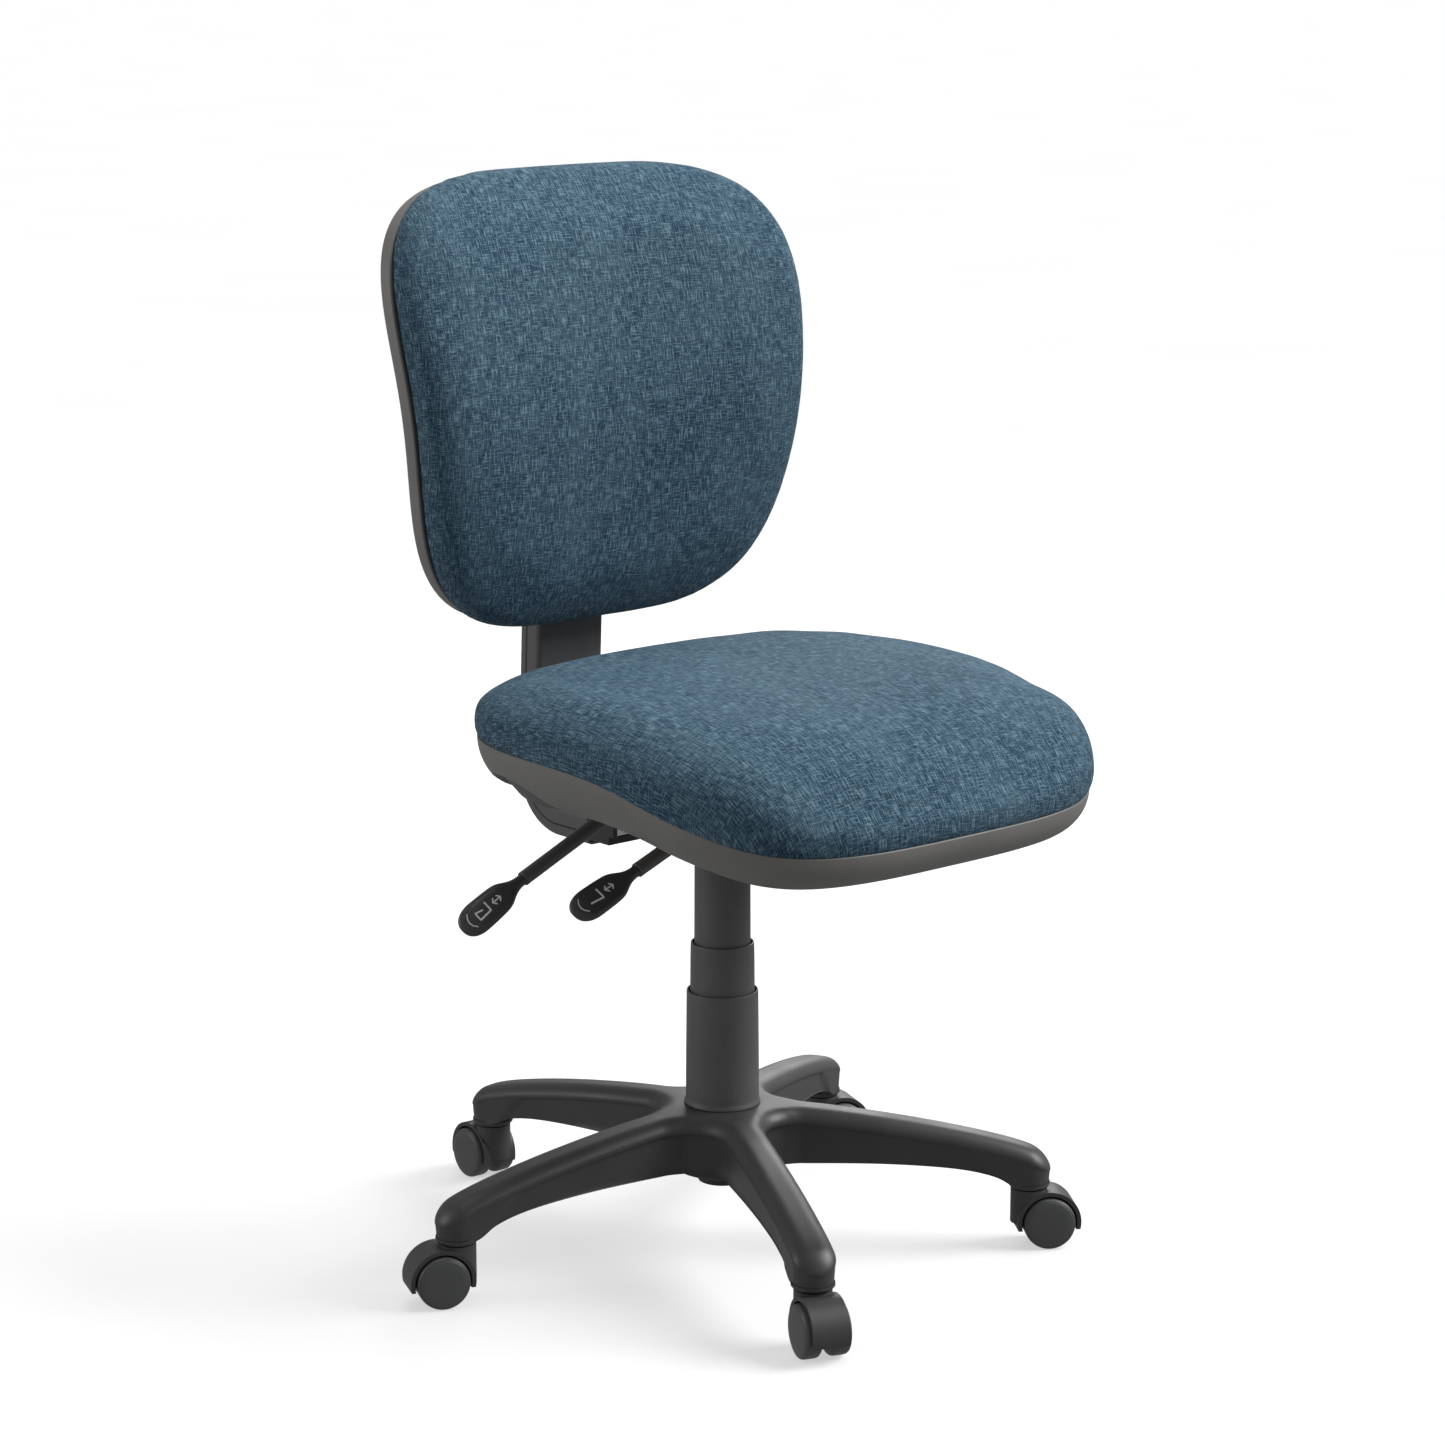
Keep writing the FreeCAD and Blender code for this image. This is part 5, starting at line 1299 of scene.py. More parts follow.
    def shell_form(self) -> Form:
        """Closed tray: a straight side, a quarter circle into the rear, and its front behind the pad."""
        rim = self.outline(even_angles(self.outline, 360)) * [1 + self.shell_widen / self.half_width, 1]
        rim[:, 1] = self.middle_z + (rim[:, 1] - self.middle_z) * (1 - self.shell_lower / self.half_height)
        centre = np.array([0, self.middle_z])
        turn = np.linspace(0, math.pi / 2, 9)
        rear_rows = np.ones(len(self.shell_insets))
        inset = np.concatenate([self.shell_insets, self.shell_radius * (1 - np.sin(turn)), [0.0]]) * MM
        offset = np.concatenate([rear_rows, 1 - self.shell_round * (1 - np.cos(turn)), [0.03]])
        rho = 1 - inset / self.half_height
        rear = self.layer(centre + (rim - centre) * rho[:, None, None], offset[:, None] * self.shell_depth)
        front = self.layer(centre + (rim - centre) * np.array(self.front_tuck)[:, None, None],
                           np.array(self.front_back)[:, None] * MM)
        return Form.from_grid(np.concatenate([rear, front]), Ends.POLE)

    def build(self) -> None:
        """Make the backrest's pieces."""
        self.pad()
        shell = self.shell_form().joined(self.housing.form(self.upright)).to_object("back_rear_shell", 40)
        show(shell, "backrest", self.finishes.shell, ["back_shell"])


# ------------------------------------------------------------------ levers
class Sign(Enum):
    """What the sign on a lever's grip stands for."""

    SEAT_HEIGHT = "seat height"
    BACK_ANGLE = "back angle"


# Strokes of a sign: width, then corners along and across the grip, all in millimetres.
ARROWS = (
    (1.4, ((58, 0), (68, 0))),
    (1.4, ((61, -3.5), (58, 0), (61, 3.5))),
    (1.4, ((65, -3.5), (68, 0), (65, 3.5))),
    (1.0, ((94, -8), (97, -4), (98, 0), (97, 4), (94, 8))),
)
PICTURES = {
    Sign.SEAT_HEIGHT: ((1.8, ((74, -6), (74, 5), (88, 3))),),
    Sign.BACK_ANGLE: ((1.8, ((74, -6), (74, 4), (88, 5))), (1.5, ((88, 5), (88, -3), (80, -1)))),
}


@dataclass
class Lever:
    """Sleeved lever rod that ends in a flat grip with a printed sign.

    Attributes:
        name: Body that the lever belongs to.
        y: Place of the pivot front to back.
        z: Height of the pivot.
        slope: Angle of the lever below level, in degrees.
        rod: Length from the pivot to the grip.
        picture: What its sign stands for.
        pivot_x: Place of the pivot from side to side.
        roll: Turn of the grip about the lever, in degrees.
        droop: Bend of the grip below the rod, in degrees.
        droop_ease: Length over which the bend sets in.
        start: Where the grip starts past the rod's end, in millimetres.
        end: Where it ends.
        rounding: Length of its rounded tip.
        station: Places along the grip where its section is given.
        half_width: Half widths there.
        half_depth: Half depths there.
        blade: Where the section turns from round to squarer.
        squarer: How much the section's exponent rises there.
        rim_middle: Middle of the raised rim, along the grip.
        rim_reach: Half of the rim's length.
        rim_share: Share of the half width at which the rim runs.
        sleeve_near: Place and radius of the sleeve's first rows, along the rod.
        collar: Place and radius of its last rows, past the grip's start.
    """

    finishes: Finishes
    name: str
    y: float
    z: float
    slope: float
    rod: float
    picture: Sign
    pivot_x: float = -44 * MM
    roll: float = 38.0
    droop: float = 0.0
    droop_ease: float = 18 * MM
    start: float = 22.0
    end: float = 106.0
    rounding: float = 24.0
    station: tuple[float, ...] = (22, 34, 42, 50, 62, 84, 106)
    half_width: tuple[float, ...] = (5.6, 5.8, 8.2, 12.2, 14.4, 15.2, 15.2)
    half_depth: tuple[float, ...] = (5.6, 5.6, 5.8, 6.1, 6.4, 6.4, 6.0)
    blade: tuple[float, float] = (38 * MM, 60 * MM)
    squarer: float = 0.9
    rim_middle: float = 74.0
    rim_reach: float = 27.0
    rim_share: float = 0.80
    sleeve_near: tuple[tuple[float, float], ...] = ((28, 6.3), (28.6, 6.9))
    collar: tuple[tuple[float, float], ...] = ((-1, 6.9), (4, 7.0), (4.5, 6.6), (4.5, 5.4))

    def matrix(self) -> np.ndarray:
        """Matrix from lever space (x along the lever, z up through the grip) to the chair."""
        s, c = math.sin(math.radians(self.slope)), math.cos(math.radians(self.slope))
        return np.array([[-c, 0, -s, self.pivot_x], [0, -1, 0, self.y], [-s, 0, c, self.z], [0, 0, 0, 1]])

    def sizes(self, s: np.ndarray) -> tuple[np.ndarray, np.ndarray]:
        """Half width and half depth of the grip at distances along it, in metres."""
        mm = s / MM
        near_tip = np.clip((mm - self.end + self.rounding) / self.rounding, 0, 0.999)
        tip = (1 - near_tip ** 2.6) ** (1 / 2.2)
        wide = spline(mm, self.station, self.half_width) * MM * tip
        return wide, spline(mm, self.station, self.half_depth) * MM * tip

    def power(self, s: np.ndarray) -> np.ndarray:
        """Exponent of the section at distances along the grip: 2 is an ellipse."""
        return 2 + self.squarer * smooth_step(s, *self.blade)

    def grip_form(self) -> Form:
        """Superellipse sections, round at the neck and squarer in the blade, carried along the lever."""
        s = (self.start + (1 - np.cos(np.linspace(0, 1, 80) * math.pi)) / 2 * (self.end - self.start)) * MM
        wide, deep = self.sizes(s)
        angle = np.linspace(0, 2 * math.pi, 48, endpoint=False)
        power = 2 / self.power(s)[:, None]
        y = wide[:, None] * signed_power(np.cos(angle), power)
        z = deep[:, None] * signed_power(np.sin(angle), power)
        rows = np.stack([np.broadcast_to(self.rod + s[:, None], y.shape), y, z], -1)
        return Form.from_grid(rows, Ends.FLAT)

    def top_at(self, s: np.ndarray, y: np.ndarray) -> np.ndarray:
        """Height of the grip's upper side: the same superellipse solved for z."""
        wide, deep = self.sizes(s)
        power = self.power(s)
        return deep * (1 - np.clip(np.abs(y) / wide, 0, 0.999) ** power) ** (1 / power)

    def line_on_top(self, s: np.ndarray, y: np.ndarray, loop: np.ndarray, ends: Ends) -> Form:
        """Thin profile carried along a line on the grip's upper side.

        Args:
            s: Places of the line along the grip, in metres.
            y: Places across it.
            loop: Profile as x across the line and y upwards.
            ends: JOINED for a line that closes on itself, FLAT for one with two ends.

        Returns:
            The closed form.
        """
        path = np.stack([self.rod + s, y, self.top_at(s, y)], -1)
        closed = ends is Ends.JOINED
        ahead = np.roll(path, -1, 0) - np.roll(path, 1, 0) if closed else np.gradient(path, axis=0)
        upward = np.array([0, 0, 1.0])
        across = np.cross(ahead, upward)
        across /= np.linalg.norm(across, axis=1, keepdims=True)
        return carried(loop, path, across, np.tile(upward, (len(path), 1)), ends)

    def raised_rim(self) -> Form:
        """Thin raised line round the blade's upper side, inside its edge: a rounded loop."""
        angle = np.linspace(0, 2 * math.pi, 120, endpoint=False)
        s = (self.rim_middle + self.rim_reach * signed_power(np.cos(angle), 0.8)) * MM
        y = self.sizes(s)[0] * self.rim_share * signed_power(np.sin(angle), 0.8)
        loop = np.array([(-0.5, -0.5), (0.5, -0.5), (0.5, 0.1), (0.2, 0.3), (-0.2, 0.3), (-0.5, 0.1)]) * MM
        return self.line_on_top(s, y, loop, Ends.JOINED)

    def stroke(self, width: float, line: Sequence[tuple[float, float]]) -> Form:
        """Printed stroke: a thin strip along a bent line, both in millimetres."""
        corners = np.array(line, float)
        number = np.arange(len(corners))
        t = np.linspace(0, number[-1], 12 * number[-1] + 1)
        s, y = (np.interp(t, number, corners[:, axis]) * MM for axis in (0, 1))
        half = width / 2
        loop = np.array([(-half, -0.25), (half, -0.25), (half, 0.12), (-half, 0.12)]) * MM
        return self.line_on_top(s, y, loop, Ends.FLAT)

    def sign(self) -> Form:
        """Plain sign: a seat or a back drawn as bent lines, with the arrows of its movement."""
        first, *others = [self.stroke(width, line) for width, line in ARROWS + PICTURES[self.picture]]
        return first.joined(*others)

    def sleeve(self) -> Form:
        """Plastic sleeve over the rod, with a collar where the grip's thinner neck goes in."""
        collar = np.array(self.collar) + [self.rod / MM + self.start, 0]
        s, r = np.concatenate([np.array(self.sleeve_near), collar])[..., None].transpose(1, 0, 2)
        angle = np.linspace(0, 2 * math.pi, 48, endpoint=False)
        rows = np.stack([s + 0 * angle, r * np.cos(angle), r * np.sin(angle)], -1) * MM
        return Form.from_grid(rows, Ends.FLAT)

    def set_in_place(self, form: Form) -> Form:
        """Roll a form about the lever, let its far end droop and carry it to the chair.

        Args:
            form: Form in lever space.

        Returns:
            The form in its place. Past the neck the drop is the droop's tangent times the distance, eased in.
        """
        rolled = form.placed(np.array(Matrix.Rotation(-math.radians(self.roll), 4, "X")))
        past = rolled.points[:, 0] - self.rod - self.start * MM
        ease = self.droop_ease
        drop = np.where(past < ease, np.maximum(past, 0) ** 2 / (2 * ease), past - ease / 2)
        rolled.points[:, 2] -= math.tan(math.radians(self.droop)) * drop
        return rolled.placed(self.matrix())

    def build(self) -> None:
        """Make the grip, its raised line, its sign and the sleeve."""
        grip = self.set_in_place(self.grip_form().joined(self.raised_rim()))
        grip = grip.to_object(self.name + "_grip", 40)
        show(grip, self.name, self.finishes.grip, [self.name + "_paddle"])
        sleeve = self.set_in_place(self.sleeve()).to_object(self.name + "_sleeve", 30)
        show(sleeve, self.name, self.finishes.cover)
        sign = self.set_in_place(self.sign()).to_object(self.name + "_sign", 30)
        show(sign, self.name, self.finishes.print_ink)


# ------------------------------------------------------------------ column
@dataclass
class Column:
    """Three telescopic covers round the gas lift.

    Attributes:
        wall: Wall thickness.
        edge: Size of the rounding at a sleeve's top.
        lower: Radius and height of the lower sleeve's outside, in millimetres from its flared foot up.
        middle: The same for the middle sleeve.
        upper: The same for the upper sleeve.
    """

    finishes: Finishes
    wall: float = 1.3 * MM
    edge: float = 0.7 * MM
    lower: tuple[tuple[float, float], ...] = (
        (36.0, 140.2), (36.6, 140.6), (36.6, 142.0), (35.4, 144.0), (35.2, 147), (34.9, 190), (34.4, 240),
        (34.3, 250.6), (34.2, 251.3))
    middle: tuple[tuple[float, float], ...] = (
        (30.6, 195.0), (31.0, 240), (30.6, 285), (30.3, 297.6), (30.2, 298.3))
    upper: tuple[tuple[float, float], ...] = (
        (26.7, 277), (26.9, 300), (26.8, 330), (26.6, 380), (26.5, 387.2))

    def sleeve(self, rows: Sequence[tuple[float, float]]) -> Form:
        """Turned sleeve: the outside line, a rounded top edge, and the inside back down."""
        outside = np.array(rows) * MM
        top = outside[-1]
        inside = outside[::-1] - [self.wall, 0]
        inside[:, 0] = np.minimum(inside[:, 0], top[0] - self.wall)
        crown = top + np.array([(-0.15, 0.5), (-0.5, 0.85), (0.2 - self.wall / self.edge, 0.85)]) * self.edge
        return turned(np.concatenate([outside, crown, inside]), Ends.JOINED, 128)

    def build(self) -> None:
        """Make the three sleeves."""
        for part, rows, body in (("lower", self.lower, "base"), ("middle", self.middle, "cover_middle"),
                                 ("upper", self.upper, "seat")):
            piece = self.sleeve(rows).to_object(f"lift_cover_{part}", 50)
            show(piece, body, self.finishes.cover, [f"column_cover_{part}"])


# ------------------------------------------------------------------ base and castors
@dataclass
class StarBase:
    """Five arched legs of one moulding, with recessed sides under a rounded lip.

    Attributes:
        circle: Radius of the circle of the castor stems.
        first: Direction of the first leg in degrees.
        half_width: Half width of a leg.
        count: How many legs.
        web: Distance of the web's edge from the middle, between two legs.
        hub: Radius of the circle in which the legs' middle lines end.
        crown: How far a leg's top falls from its ridge to its lip.
        crown_reach: Width of the stretch over which it falls.
        ridge_r: Distances from the middle where the ridge's height is given.
        ridge_z: Heights of the ridge there.
        under_r: Distances where the underside's height is given.
        under_z: Heights of the underside there.
        lip: Inset of each row of the lip and its distance below the crown, in millimetres.
        lip_depth: Distance below the crown where the recessed side starts.
        side_parts: Shares of the side's height at which its rows lie.
        recess: Depth of the recessed side.
        hub_recess: How much deeper it is near the hub.
        near_hub: Distances between which the hub's extra depth fades out.
        recess_end: Distance where the recess ends at the lip.
        recess_lean: How much further out it ends at the foot.
        recess_fade: Length over which it ends.
        side_step: Inset of the side beyond the recess.
        draft: How much further in the side's foot is than its top.
        rim: Insets of the underside rim's outer and inner edge and of the hollow.
        hollow_end: Distances between which the hollow under a leg ends.
        ceiling: Distance of the hollow's roof below the lip.
        hub_rows: Radius and height of the hub's section, in millimetres.
        ring_rows: Radius and height of a socket ring's section, in millimetres.
    """

    finishes: Finishes
    circle: float = 295 * MM
    first: float = 172.9
    count: int = 5
    half_width: float = 20.5 * MM
    web: float = 62 * MM
    hub: float = 33 * MM
    crown: float = 10.5 * MM
    crown_reach: float = 15 * MM
    ridge_r: tuple[float, ...] = (0.0, 0.05, 0.1, 0.15, 0.2, 0.25, 0.28, 0.295, 0.306, 0.316)
    ridge_z: tuple[float, ...] = (0.140, 0.1395, 0.1355, 0.129, 0.121, 0.111, 0.1035, 0.0985, 0.0935, 0.088)
    under_r: tuple[float, ...] = (0.03, 0.1, 0.15, 0.2, 0.235, 0.258, 0.272, 0.280, 0.29, 0.32)
    under_z: tuple[float, ...] = (0.083, 0.084, 0.084, 0.082, 0.0785, 0.0735, 0.0675, 0.0625, 0.0605, 0.0605)
    lip: tuple[tuple[float, float], ...] = ((0.0, 0.9), (0.0, 2.6), (0.5, 3.3))
    lip_depth: float = 4.2 * MM
    side_parts: tuple[float, ...] = (0.0, 0.06, 0.25, 0.5, 0.75, 0.96)
    recess: float = 2.4 * MM
    hub_recess: float = 3 * MM
    near_hub: tuple[float, float] = (62 * MM, 85 * MM)
    recess_end: float = 238 * MM
    recess_lean: float = 27 * MM
    recess_fade: float = 6 * MM
    side_step: float = 0.5 * MM
    draft: float = 1.2 * MM
    rim: tuple[float, float, float] = (3.2 * MM, 6.5 * MM, 7 * MM)
    hollow_end: tuple[float, float] = (266 * MM, 272 * MM)
    ceiling: float = 5 * MM
    hub_rows: tuple[tuple[float, float], ...] = (
        (25.2, 75), (42, 74), (45.5, 75.5), (46, 79), (46, 126), (40, 136), (38, 139.2), (25.2, 139.2))
    ring_rows: tuple[tuple[float, float], ...] = (
        (6.2, 62), (19.2, 62), (20.0, 63.6), (20.0, 62.2), (20.2, 61.0), (19.8, 60.3), (18.8, 60.0),
        (18.4, 58.9), (17.6, 58.7), (6.2, 58.7))

    def half_sector(self) -> tuple[np.ndarray, np.ndarray]:
        """Outline of half a sector, leg along +X: web fillet, leg side, then the round tip.

        Returns:
            Outline points, and for each the point on the leg's middle line or hub circle that faces it.
        """
        turn = math.radians(180 / self.count)
        fillet = (self.web * math.sin(turn) - self.half_width) / (1 - math.sin(turn))
        reach = (self.half_width + fillet) / math.sin(turn)
        centre = reach * np.array([math.cos(turn), math.sin(turn)])
        tangent = centre[0]
        a = np.linspace(math.pi + turn, 1.5 * math.pi, 30)
        web_edge = centre + fillet * np.stack([np.cos(a), np.sin(a)], -1)
        t = np.linspace(0, 1, 30)
        around = turn * (1 - np.clip(t / 0.55, 0, 1))
        along = self.hub + (tangent - self.hub) * smooth_step(t, 0.55, 1.0)
        web_middle = along[:, None] * np.stack([np.cos(around), np.sin(around)], -1)
        x = np.linspace(tangent, self.circle, 72)[1:]
        side = np.stack([x, np.full_like(x, self.half_width)], -1)
        b = np.linspace(math.pi / 2, 0, 16)[1:]
        tip = np.array([self.circle, 0]) + self.half_width * np.stack([np.cos(b), np.sin(b)], -1)
        outline = np.concatenate([web_edge, side, tip])
        middle = np.concatenate([web_middle, side * [1, 0], np.tile([self.circle, 0.0], (len(tip), 1))])
        return outline, middle

    def form(self) -> Form:
        """Profile carried round the star's outline: crowned top, lip, recessed side, rim and hollow."""
        outline, middle = self.half_sector()
        mirror = np.array([1, -1])
        edge = np.concatenate([outline * mirror, outline[-2::-1]])
        core = np.concatenate([middle * mirror, middle[-2::-1]])
        sector = np.arange(self.count) * 2 * math.pi / self.count + math.radians(self.first)
        cos, sin = np.cos(sector)[:, None], np.sin(sector)[:, None]

        def all_round(points: np.ndarray) -> np.ndarray:
            """Repeat a sector's points round the star."""
            x, y = points[:, 0], points[:, 1]
            return np.stack([x * cos - y * sin, x * sin + y * cos], -1).reshape(-1, 2)

        rim, axis = all_round(edge), all_round(core)
        length = np.linalg.norm(axis - rim, axis=1)
        inward = (axis - rim) / length[:, None]

        def at(inset: np.ndarray | float) -> tuple[np.ndarray, np.ndarray]:
            """Places moved in from the outline, with their distance from the middle of the star."""
            flat = rim + inward * np.broadcast_to(inset, length.shape)[:, None]
            return flat, np.linalg.norm(flat, axis=1)

        def row(inset: np.ndarray | float, height: np.ndarray) -> np.ndarray:
            """Points moved in from the outline at given heights."""
            return np.concatenate([at(inset)[0], np.broadcast_to(height, length.shape)[:, None]], -1)

        def ridge(radius: np.ndarray) -> np.ndarray:
            """Height of the ridge line."""
            return spline(radius, self.ridge_r, self.ridge_z)

        def drop(inset: np.ndarray) -> np.ndarray:
            """Fall of the crowned top: a quarter ellipse over the last stretch before the lip."""
            most = 0.95
            part = np.clip(1 - inset / self.crown_reach, 0, 1) * most
            return self.crown * (1 - np.sqrt(1 - part ** 2)) / (1 - math.sqrt(1 - most ** 2))

        rows = []
        for part in np.concatenate([np.linspace(1, 0.35, 7), np.linspace(0.28, 0.02, 9)]):
            inset = length * part
            rows.append(row(inset, ridge(at(inset)[1]) - drop(inset)))
        distance = at(0.0)[1]
        lip = ridge(distance) - self.crown
        under = np.minimum(spline(distance, self.under_r, self.under_z), lip - 6 * MM)
        extra = self.hub_recess * (1 - smooth_step(distance, *self.near_hub))
        rows += [row(inset * MM, lip - below * MM) for inset, below in self.lip]
        top = lip - self.lip_depth
        for part in self.side_parts:
            start = self.recess_end + self.recess_lean * part
            fade = 1 - smooth_step(distance, start, start + self.recess_fade)
            depth = (self.recess + extra) * fade + self.side_step
            rows.append(row(depth + self.draft * part, top + (under - top) * part))
        rim_outer, rim_inner, hollow = self.rim
        ceiling = lip - self.ceiling
        ceiling = ceiling + (under - ceiling) * smooth_step(distance, *self.hollow_end)
        rows += [row(rim_outer + extra, under), row(rim_inner + extra, under), row(hollow + extra, ceiling),
                 row(length, ceiling)]
        grid = np.stack(rows)
        form = Form.from_grid(grid, Ends.JOINED)
        on_hub = np.linalg.norm(axis, axis=1) < self.hub + 1 * MM
        width = grid.shape[1]
        sides = len(form.faces) - width
        keep = on_hub & np.roll(on_hub, -1)
        closing = [face for face, wanted in zip(form.faces[sides:], keep) if wanted]
        LOG.info("star base: %d rows of %d points", len(rows), width)
        return Form(form.points, form.faces[:sides] + closing)

    def hub_form(self) -> Form:
        """Turned hub under the covers: a drum with a rounded foot and the lift's bore."""
        profile = np.array(self.hub_rows) * MM
        return turned(profile, Ends.JOINED)

    def socket_ring(self) -> Form:
        """Turned ring at the foot of a leg's socket: a small step and a chamfer."""
        profile = np.array(self.ring_rows) * MM
        return turned(profile, Ends.JOINED)

    def places(self) -> list[tuple[float, float, float]]:
        """Castor stem places."""
        angle = np.radians(self.first + 360 / self.count * np.arange(self.count))
        return [(self.circle * math.cos(a), self.circle * math.sin(a), 0.0) for a in angle]

    def build(self) -> None:
        """Make the base as one piece."""
        rings = [self.socket_ring().placed(turn_z(0, place)) for place in self.places()]
        form = self.form().joined(self.hub_form(), *rings)
        piece = form.to_object("five_leg_base", 40, merge=True)
        show(piece, "base", self.finishes.base, ["star_base"])


@dataclass
class Castors:
    """Twin-wheel castors with a hood over both wheels.

    Attributes:
        base: Base whose sockets they stand in.
        turns: Direction in which each castor trails, in degrees.
        trail: Distance of the axle from the stem.
        radius: Radius of the wheels.
        rows: Radius of the wheel's section and distance from the castor's middle, in millimetres, from
            the inner face over the tread and its groove to the crowned outer disc.
        hood_edge: Rounding of the hood's edges.
    """

    finishes: Finishes
    base: StarBase
    turns: tuple[float, ...] = (157.0, 249.0, 326.0, 340.0, 86.0)
    trail: float = 17.5 * MM
    radius: float = 25 * MM
    rows: tuple[tuple[float, float], ...] = (
        (3.2, 5.4), (20, 5.4), (23.4, 5.9), (24.6, 7.2), (25, 9), (25, 18.2), (24.7, 20.2), (24.0, 21.3),
        (23.4, 21.6), (23.0, 21.4), (22.6, 21.9), (21.6, 22.3), (16, 22.6), (8, 22.8), (0.4, 22.9))
    hood_edge: float = 1.1 * MM

    def wheel(self, side: int) -> Form:
        """Turned wheel, laid over so that it rolls: the profile's height becomes the distance sideways."""
        profile = np.array(self.rows) * MM
        form = turned(profile, Ends.POLE, 72)
        x, y, z = form.points.T
        lying = np.stack([x + self.trail, z * side, y + self.radius], -1)
        return Form(lying, form.faces).outward()

    def build(self) -> None:
        """Make all wheels and the softened hoods."""
        for index, (place, turn) in enumerate(zip(self.base.places(), self.turns), 1):
            matrix = turn_z(turn, place)
            for side, label in ((1, "left"), (-1, "right")):
                node = f"castor_{index}_wheel_{label}"
                piece = self.wheel(side).placed(matrix).to_object(f"castor_wheel_{index}_{label}", 40)
                show(piece, node, self.finishes.wheel, [node])
            hood = softened(f"castor_{index}_hood", f"castor_hood_{index}", self.hood_edge)
            show(hood, f"castor_{index}", self.finishes.base, [f"castor_{index}_hood"])


# ------------------------------------------------------------------ mechanism and carried-over nodes
@dataclass
class Mechanism:
    """Pressed steel parts under the seat, and the finish of every node that is shown as designed.

    Attributes:
        edge: Rounding of the pressed and moulded edges.
    """

    finishes: Finishes
    edge: float = 1.2 * MM

    def build(self) -> None:
        """Round the edges of the housing and dress the rest."""
        finishes = self.finishes
        show(softened("mechanism_housing", "pressed_mechanism", self.edge), "seat",
             finishes.coated, ["mechanism_housing"])
        show(softened("back_carriage", "moulded_carriage", self.edge), "backrest",
             finishes.base, ["back_carriage"])
        plated = [
            "thrust_bearing", "piston_rod", "rod_clip", "gas_cylinder", "release_pin", "tilt_pivot_pin",
            "lever_pins", "seat_bolts", "back_screws"]
        plated += [f"castor_{index}_{part}" for index in range(1, 6) for part in ("stem", "axle")]
        coated = [
            "gas_lift_outer_tube", "taper_socket", "return_springs", "height_lever_rod", "back_lever_rod"]
        dressed = {**dict.fromkeys(plated, finishes.plated), **dict.fromkeys(coated, finishes.coated),
                   "guide_bush": finishes.acetal, "seat_board": finishes.ply, "back_board": finishes.ply}
        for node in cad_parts.values():
            finish = dressed.get(node.name, finishes.cover)
            node.data.materials.clear()
            node.data.materials.append(finish)
        LOG.info("dressed %d design nodes", len(dressed))


# ------------------------------------------------------------------ room
@dataclass(frozen=True)
class SoftLamp:
    """Large square soft lamp.

    Attributes:
        name: Name of the lamp.
        place: Where it hangs.
        aim: Point that it looks at.
        size: Length of its side.
        power: Its power in watts.
    """

    name: str
    place: tuple[float, float, float]
    aim: tuple[float, float, float]
    size: float
    power: float

    def build(self) -> None:
        """Hang the lamp."""
        data = bpy.data.lights.new(self.name, "AREA")
        data.shape, data.size, data.energy = "SQUARE", self.size, self.power
        lamp = bpy.data.objects.new(self.name, data)
        lamp.location = self.place
        lamp.rotation_euler = (Vector(self.aim) - Vector(self.place)).to_track_quat("-Z", "Y").to_euler()
        bpy.context.scene.collection.objects.link(lamp)


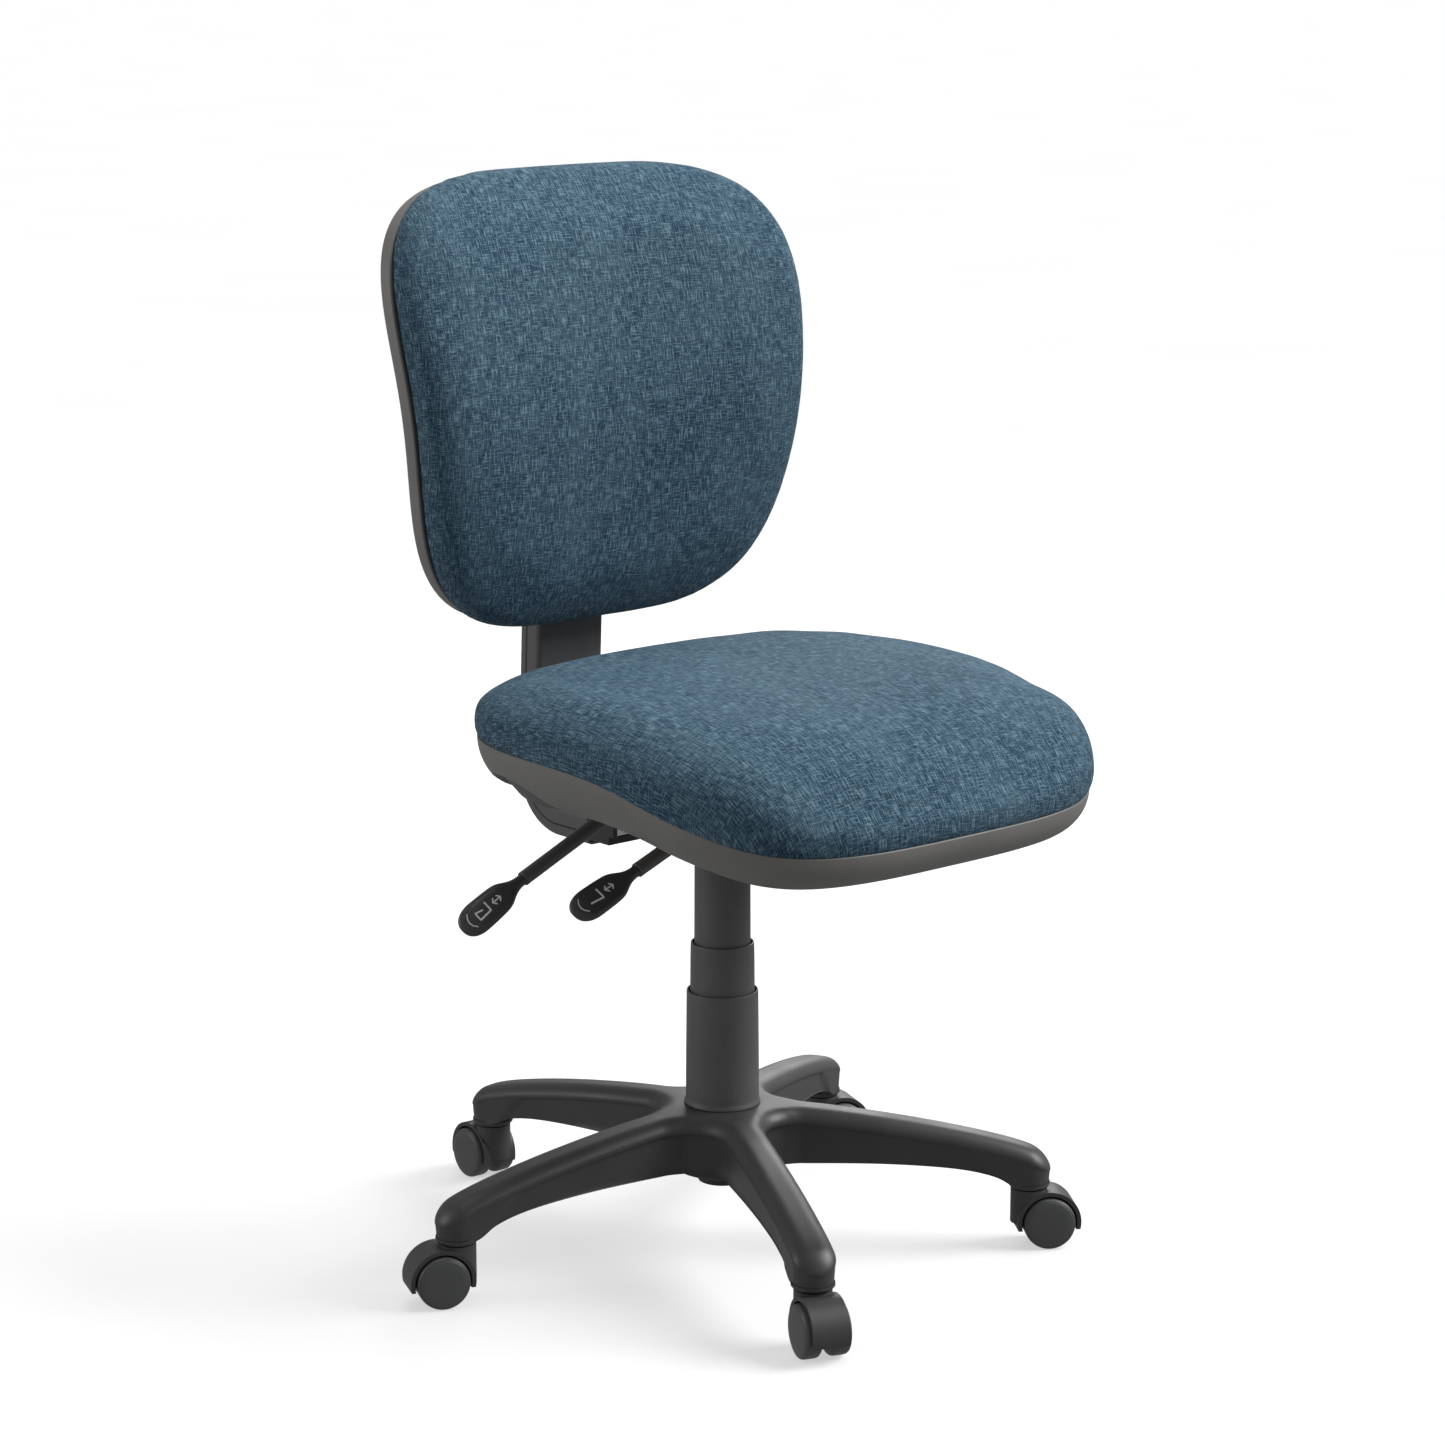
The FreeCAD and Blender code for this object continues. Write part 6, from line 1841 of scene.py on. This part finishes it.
@dataclass
class Studio:
    """Pale floor, soft lamps and the camera.

    Attributes:
        eye: Place of the camera.
        heading: Direction it looks in, in degrees to the right of straight back.
        pitch: How far it looks down, in degrees.
        lens: Focal length in millimetres.
        floor_glow: Strength of the paper's own light.
        floor_reach: Half of the floor's side.
        floor_z: Height of the floor, just under the wheels.
        sun_from: Direction that the key light comes from.
        sun_power: Its strength.
        sun_spread: Its width in degrees, which softens the shadows.
        sky: Strength of the even light from all round.
        lamps: The soft lamps.
    """

    eye: tuple[float, float, float] = (-2.3119, -2.6596, 1.288)
    heading: float = 41.0
    pitch: float = 12.42
    lens: float = 95.67
    floor_glow: float = 1.03
    floor_reach: float = 140.0
    floor_z: float = -0.4 * MM
    sun_from: tuple[float, float, float] = (0.66, -0.50, 0.66)
    sun_power: float = 3.1
    sun_spread: float = 36.0
    sky: float = 0.30
    lamps: tuple[SoftLamp, ...] = (
        SoftLamp("overhead_lamp", (0.3, 0.1, 2.6), (0, -0.05, 0.4), 1.6, 20),
        SoftLamp("left_rim_lamp", (-2.6, 1.6, 1.2), (0, 0, 0.5), 1.4, 22),
        SoftLamp("right_rim_lamp", (2.4, 1.9, 1.4), (0, 0, 0.5), 1.4, 26),
    )

    def floor(self) -> None:
        """Gently mottled pale paper, lit a little from behind as on a light table, that runs out of view."""
        material, tree, shader = new_material("pale_studio_paper")
        place = add_node(tree, "ShaderNodeTexCoord").outputs["Object"]
        noise = add_node(tree, "ShaderNodeTexNoise", {"Vector": place, "Scale": 1.5, "Detail": 2.0})
        mix = add_node(tree, "ShaderNodeMix", {0: noise.outputs["Fac"], MIX_FIRST: linear("#bcbcbc"),
                                               MIX_SECOND: linear("#c0c0c0")}, data_type="RGBA")
        tree.links.new(mix.outputs[2], shader.inputs["Base Color"])
        tree.links.new(mix.outputs[2], shader.inputs["Emission Color"])
        shader.inputs["Emission Strength"].default_value = self.floor_glow
        shader.inputs["Roughness"].default_value = 0.9
        shader.inputs["Specular IOR Level"].default_value = 0.1
        reach, z = self.floor_reach, self.floor_z
        corners = np.array([(-reach, -reach, z), (reach, -reach, z), (reach, reach, z), (-reach, reach, z)])
        floor = Form(corners, [[0, 1, 2, 3]]).to_object("studio_floor")
        floor.data.materials.append(material)
        # The paper's glow is for the eye only: it doesn't lift the shadows under the chair.
        floor.visible_diffuse = floor.visible_glossy = False

    def key_light(self) -> None:
        """Wide sun from the front right."""
        sun = bpy.data.lights.new("key_lamp", "SUN")
        sun.energy, sun.angle = self.sun_power, math.radians(self.sun_spread)
        key = bpy.data.objects.new("key_lamp", sun)
        key.rotation_euler = Vector(self.sun_from).to_track_quat("Z", "Y").to_euler()
        bpy.context.scene.collection.objects.link(key)

    def surroundings(self) -> None:
        """Even white light from all round."""
        world = bpy.data.worlds.new("soft_room")
        world.use_nodes = True
        background = world.node_tree.nodes["Background"]
        background.inputs["Color"].default_value = (1, 1, 1, 1)
        background.inputs["Strength"].default_value = self.sky
        bpy.context.scene.world = world

    def camera(self) -> None:
        """Camera that looks along its heading and pitch."""
        data = bpy.data.cameras.new("camera")
        data.lens, data.sensor_width = self.lens, 36.0
        camera = bpy.data.objects.new("camera", data)
        camera.location = self.eye
        h, p = math.radians(self.heading), math.radians(self.pitch)
        forward = Vector((math.sin(h) * math.cos(p), math.cos(h) * math.cos(p), -math.sin(p)))
        camera.rotation_euler = forward.to_track_quat("-Z", "Y").to_euler()
        bpy.context.scene.collection.objects.link(camera)
        bpy.context.scene.camera = camera
        bpy.context.scene.view_settings.view_transform = "Standard"

    def build(self) -> None:
        """Make the room."""
        self.floor()
        self.key_light()
        for lamp in self.lamps:
            lamp.build()
        self.surroundings()
        self.camera()


def main() -> None:
    """Build the chair's sub-assemblies in order."""
    logging.basicConfig(level=logging.INFO, format="%(name)s: %(message)s")
    finishes = Finishes()
    upright = Upright(finishes)
    base = StarBase(finishes)
    parts = [
        Mechanism(finishes), Seat(finishes), upright, Backrest(finishes, upright),
        Lever(finishes, "height_lever", y=-60 * MM, z=450 * MM, slope=21.3, rod=93 * MM,
              picture=Sign.SEAT_HEIGHT),
        Lever(finishes, "back_lever", y=48 * MM, z=454 * MM, slope=23.5, rod=146 * MM,
              picture=Sign.BACK_ANGLE, roll=46.0, droop=4.0),
        Column(finishes), base, Castors(finishes, base), Studio(),
    ]
    for part in parts:
        part.build()
        LOG.info("%s done", type(part).__name__)


if __name__ == "__main__":
    main()
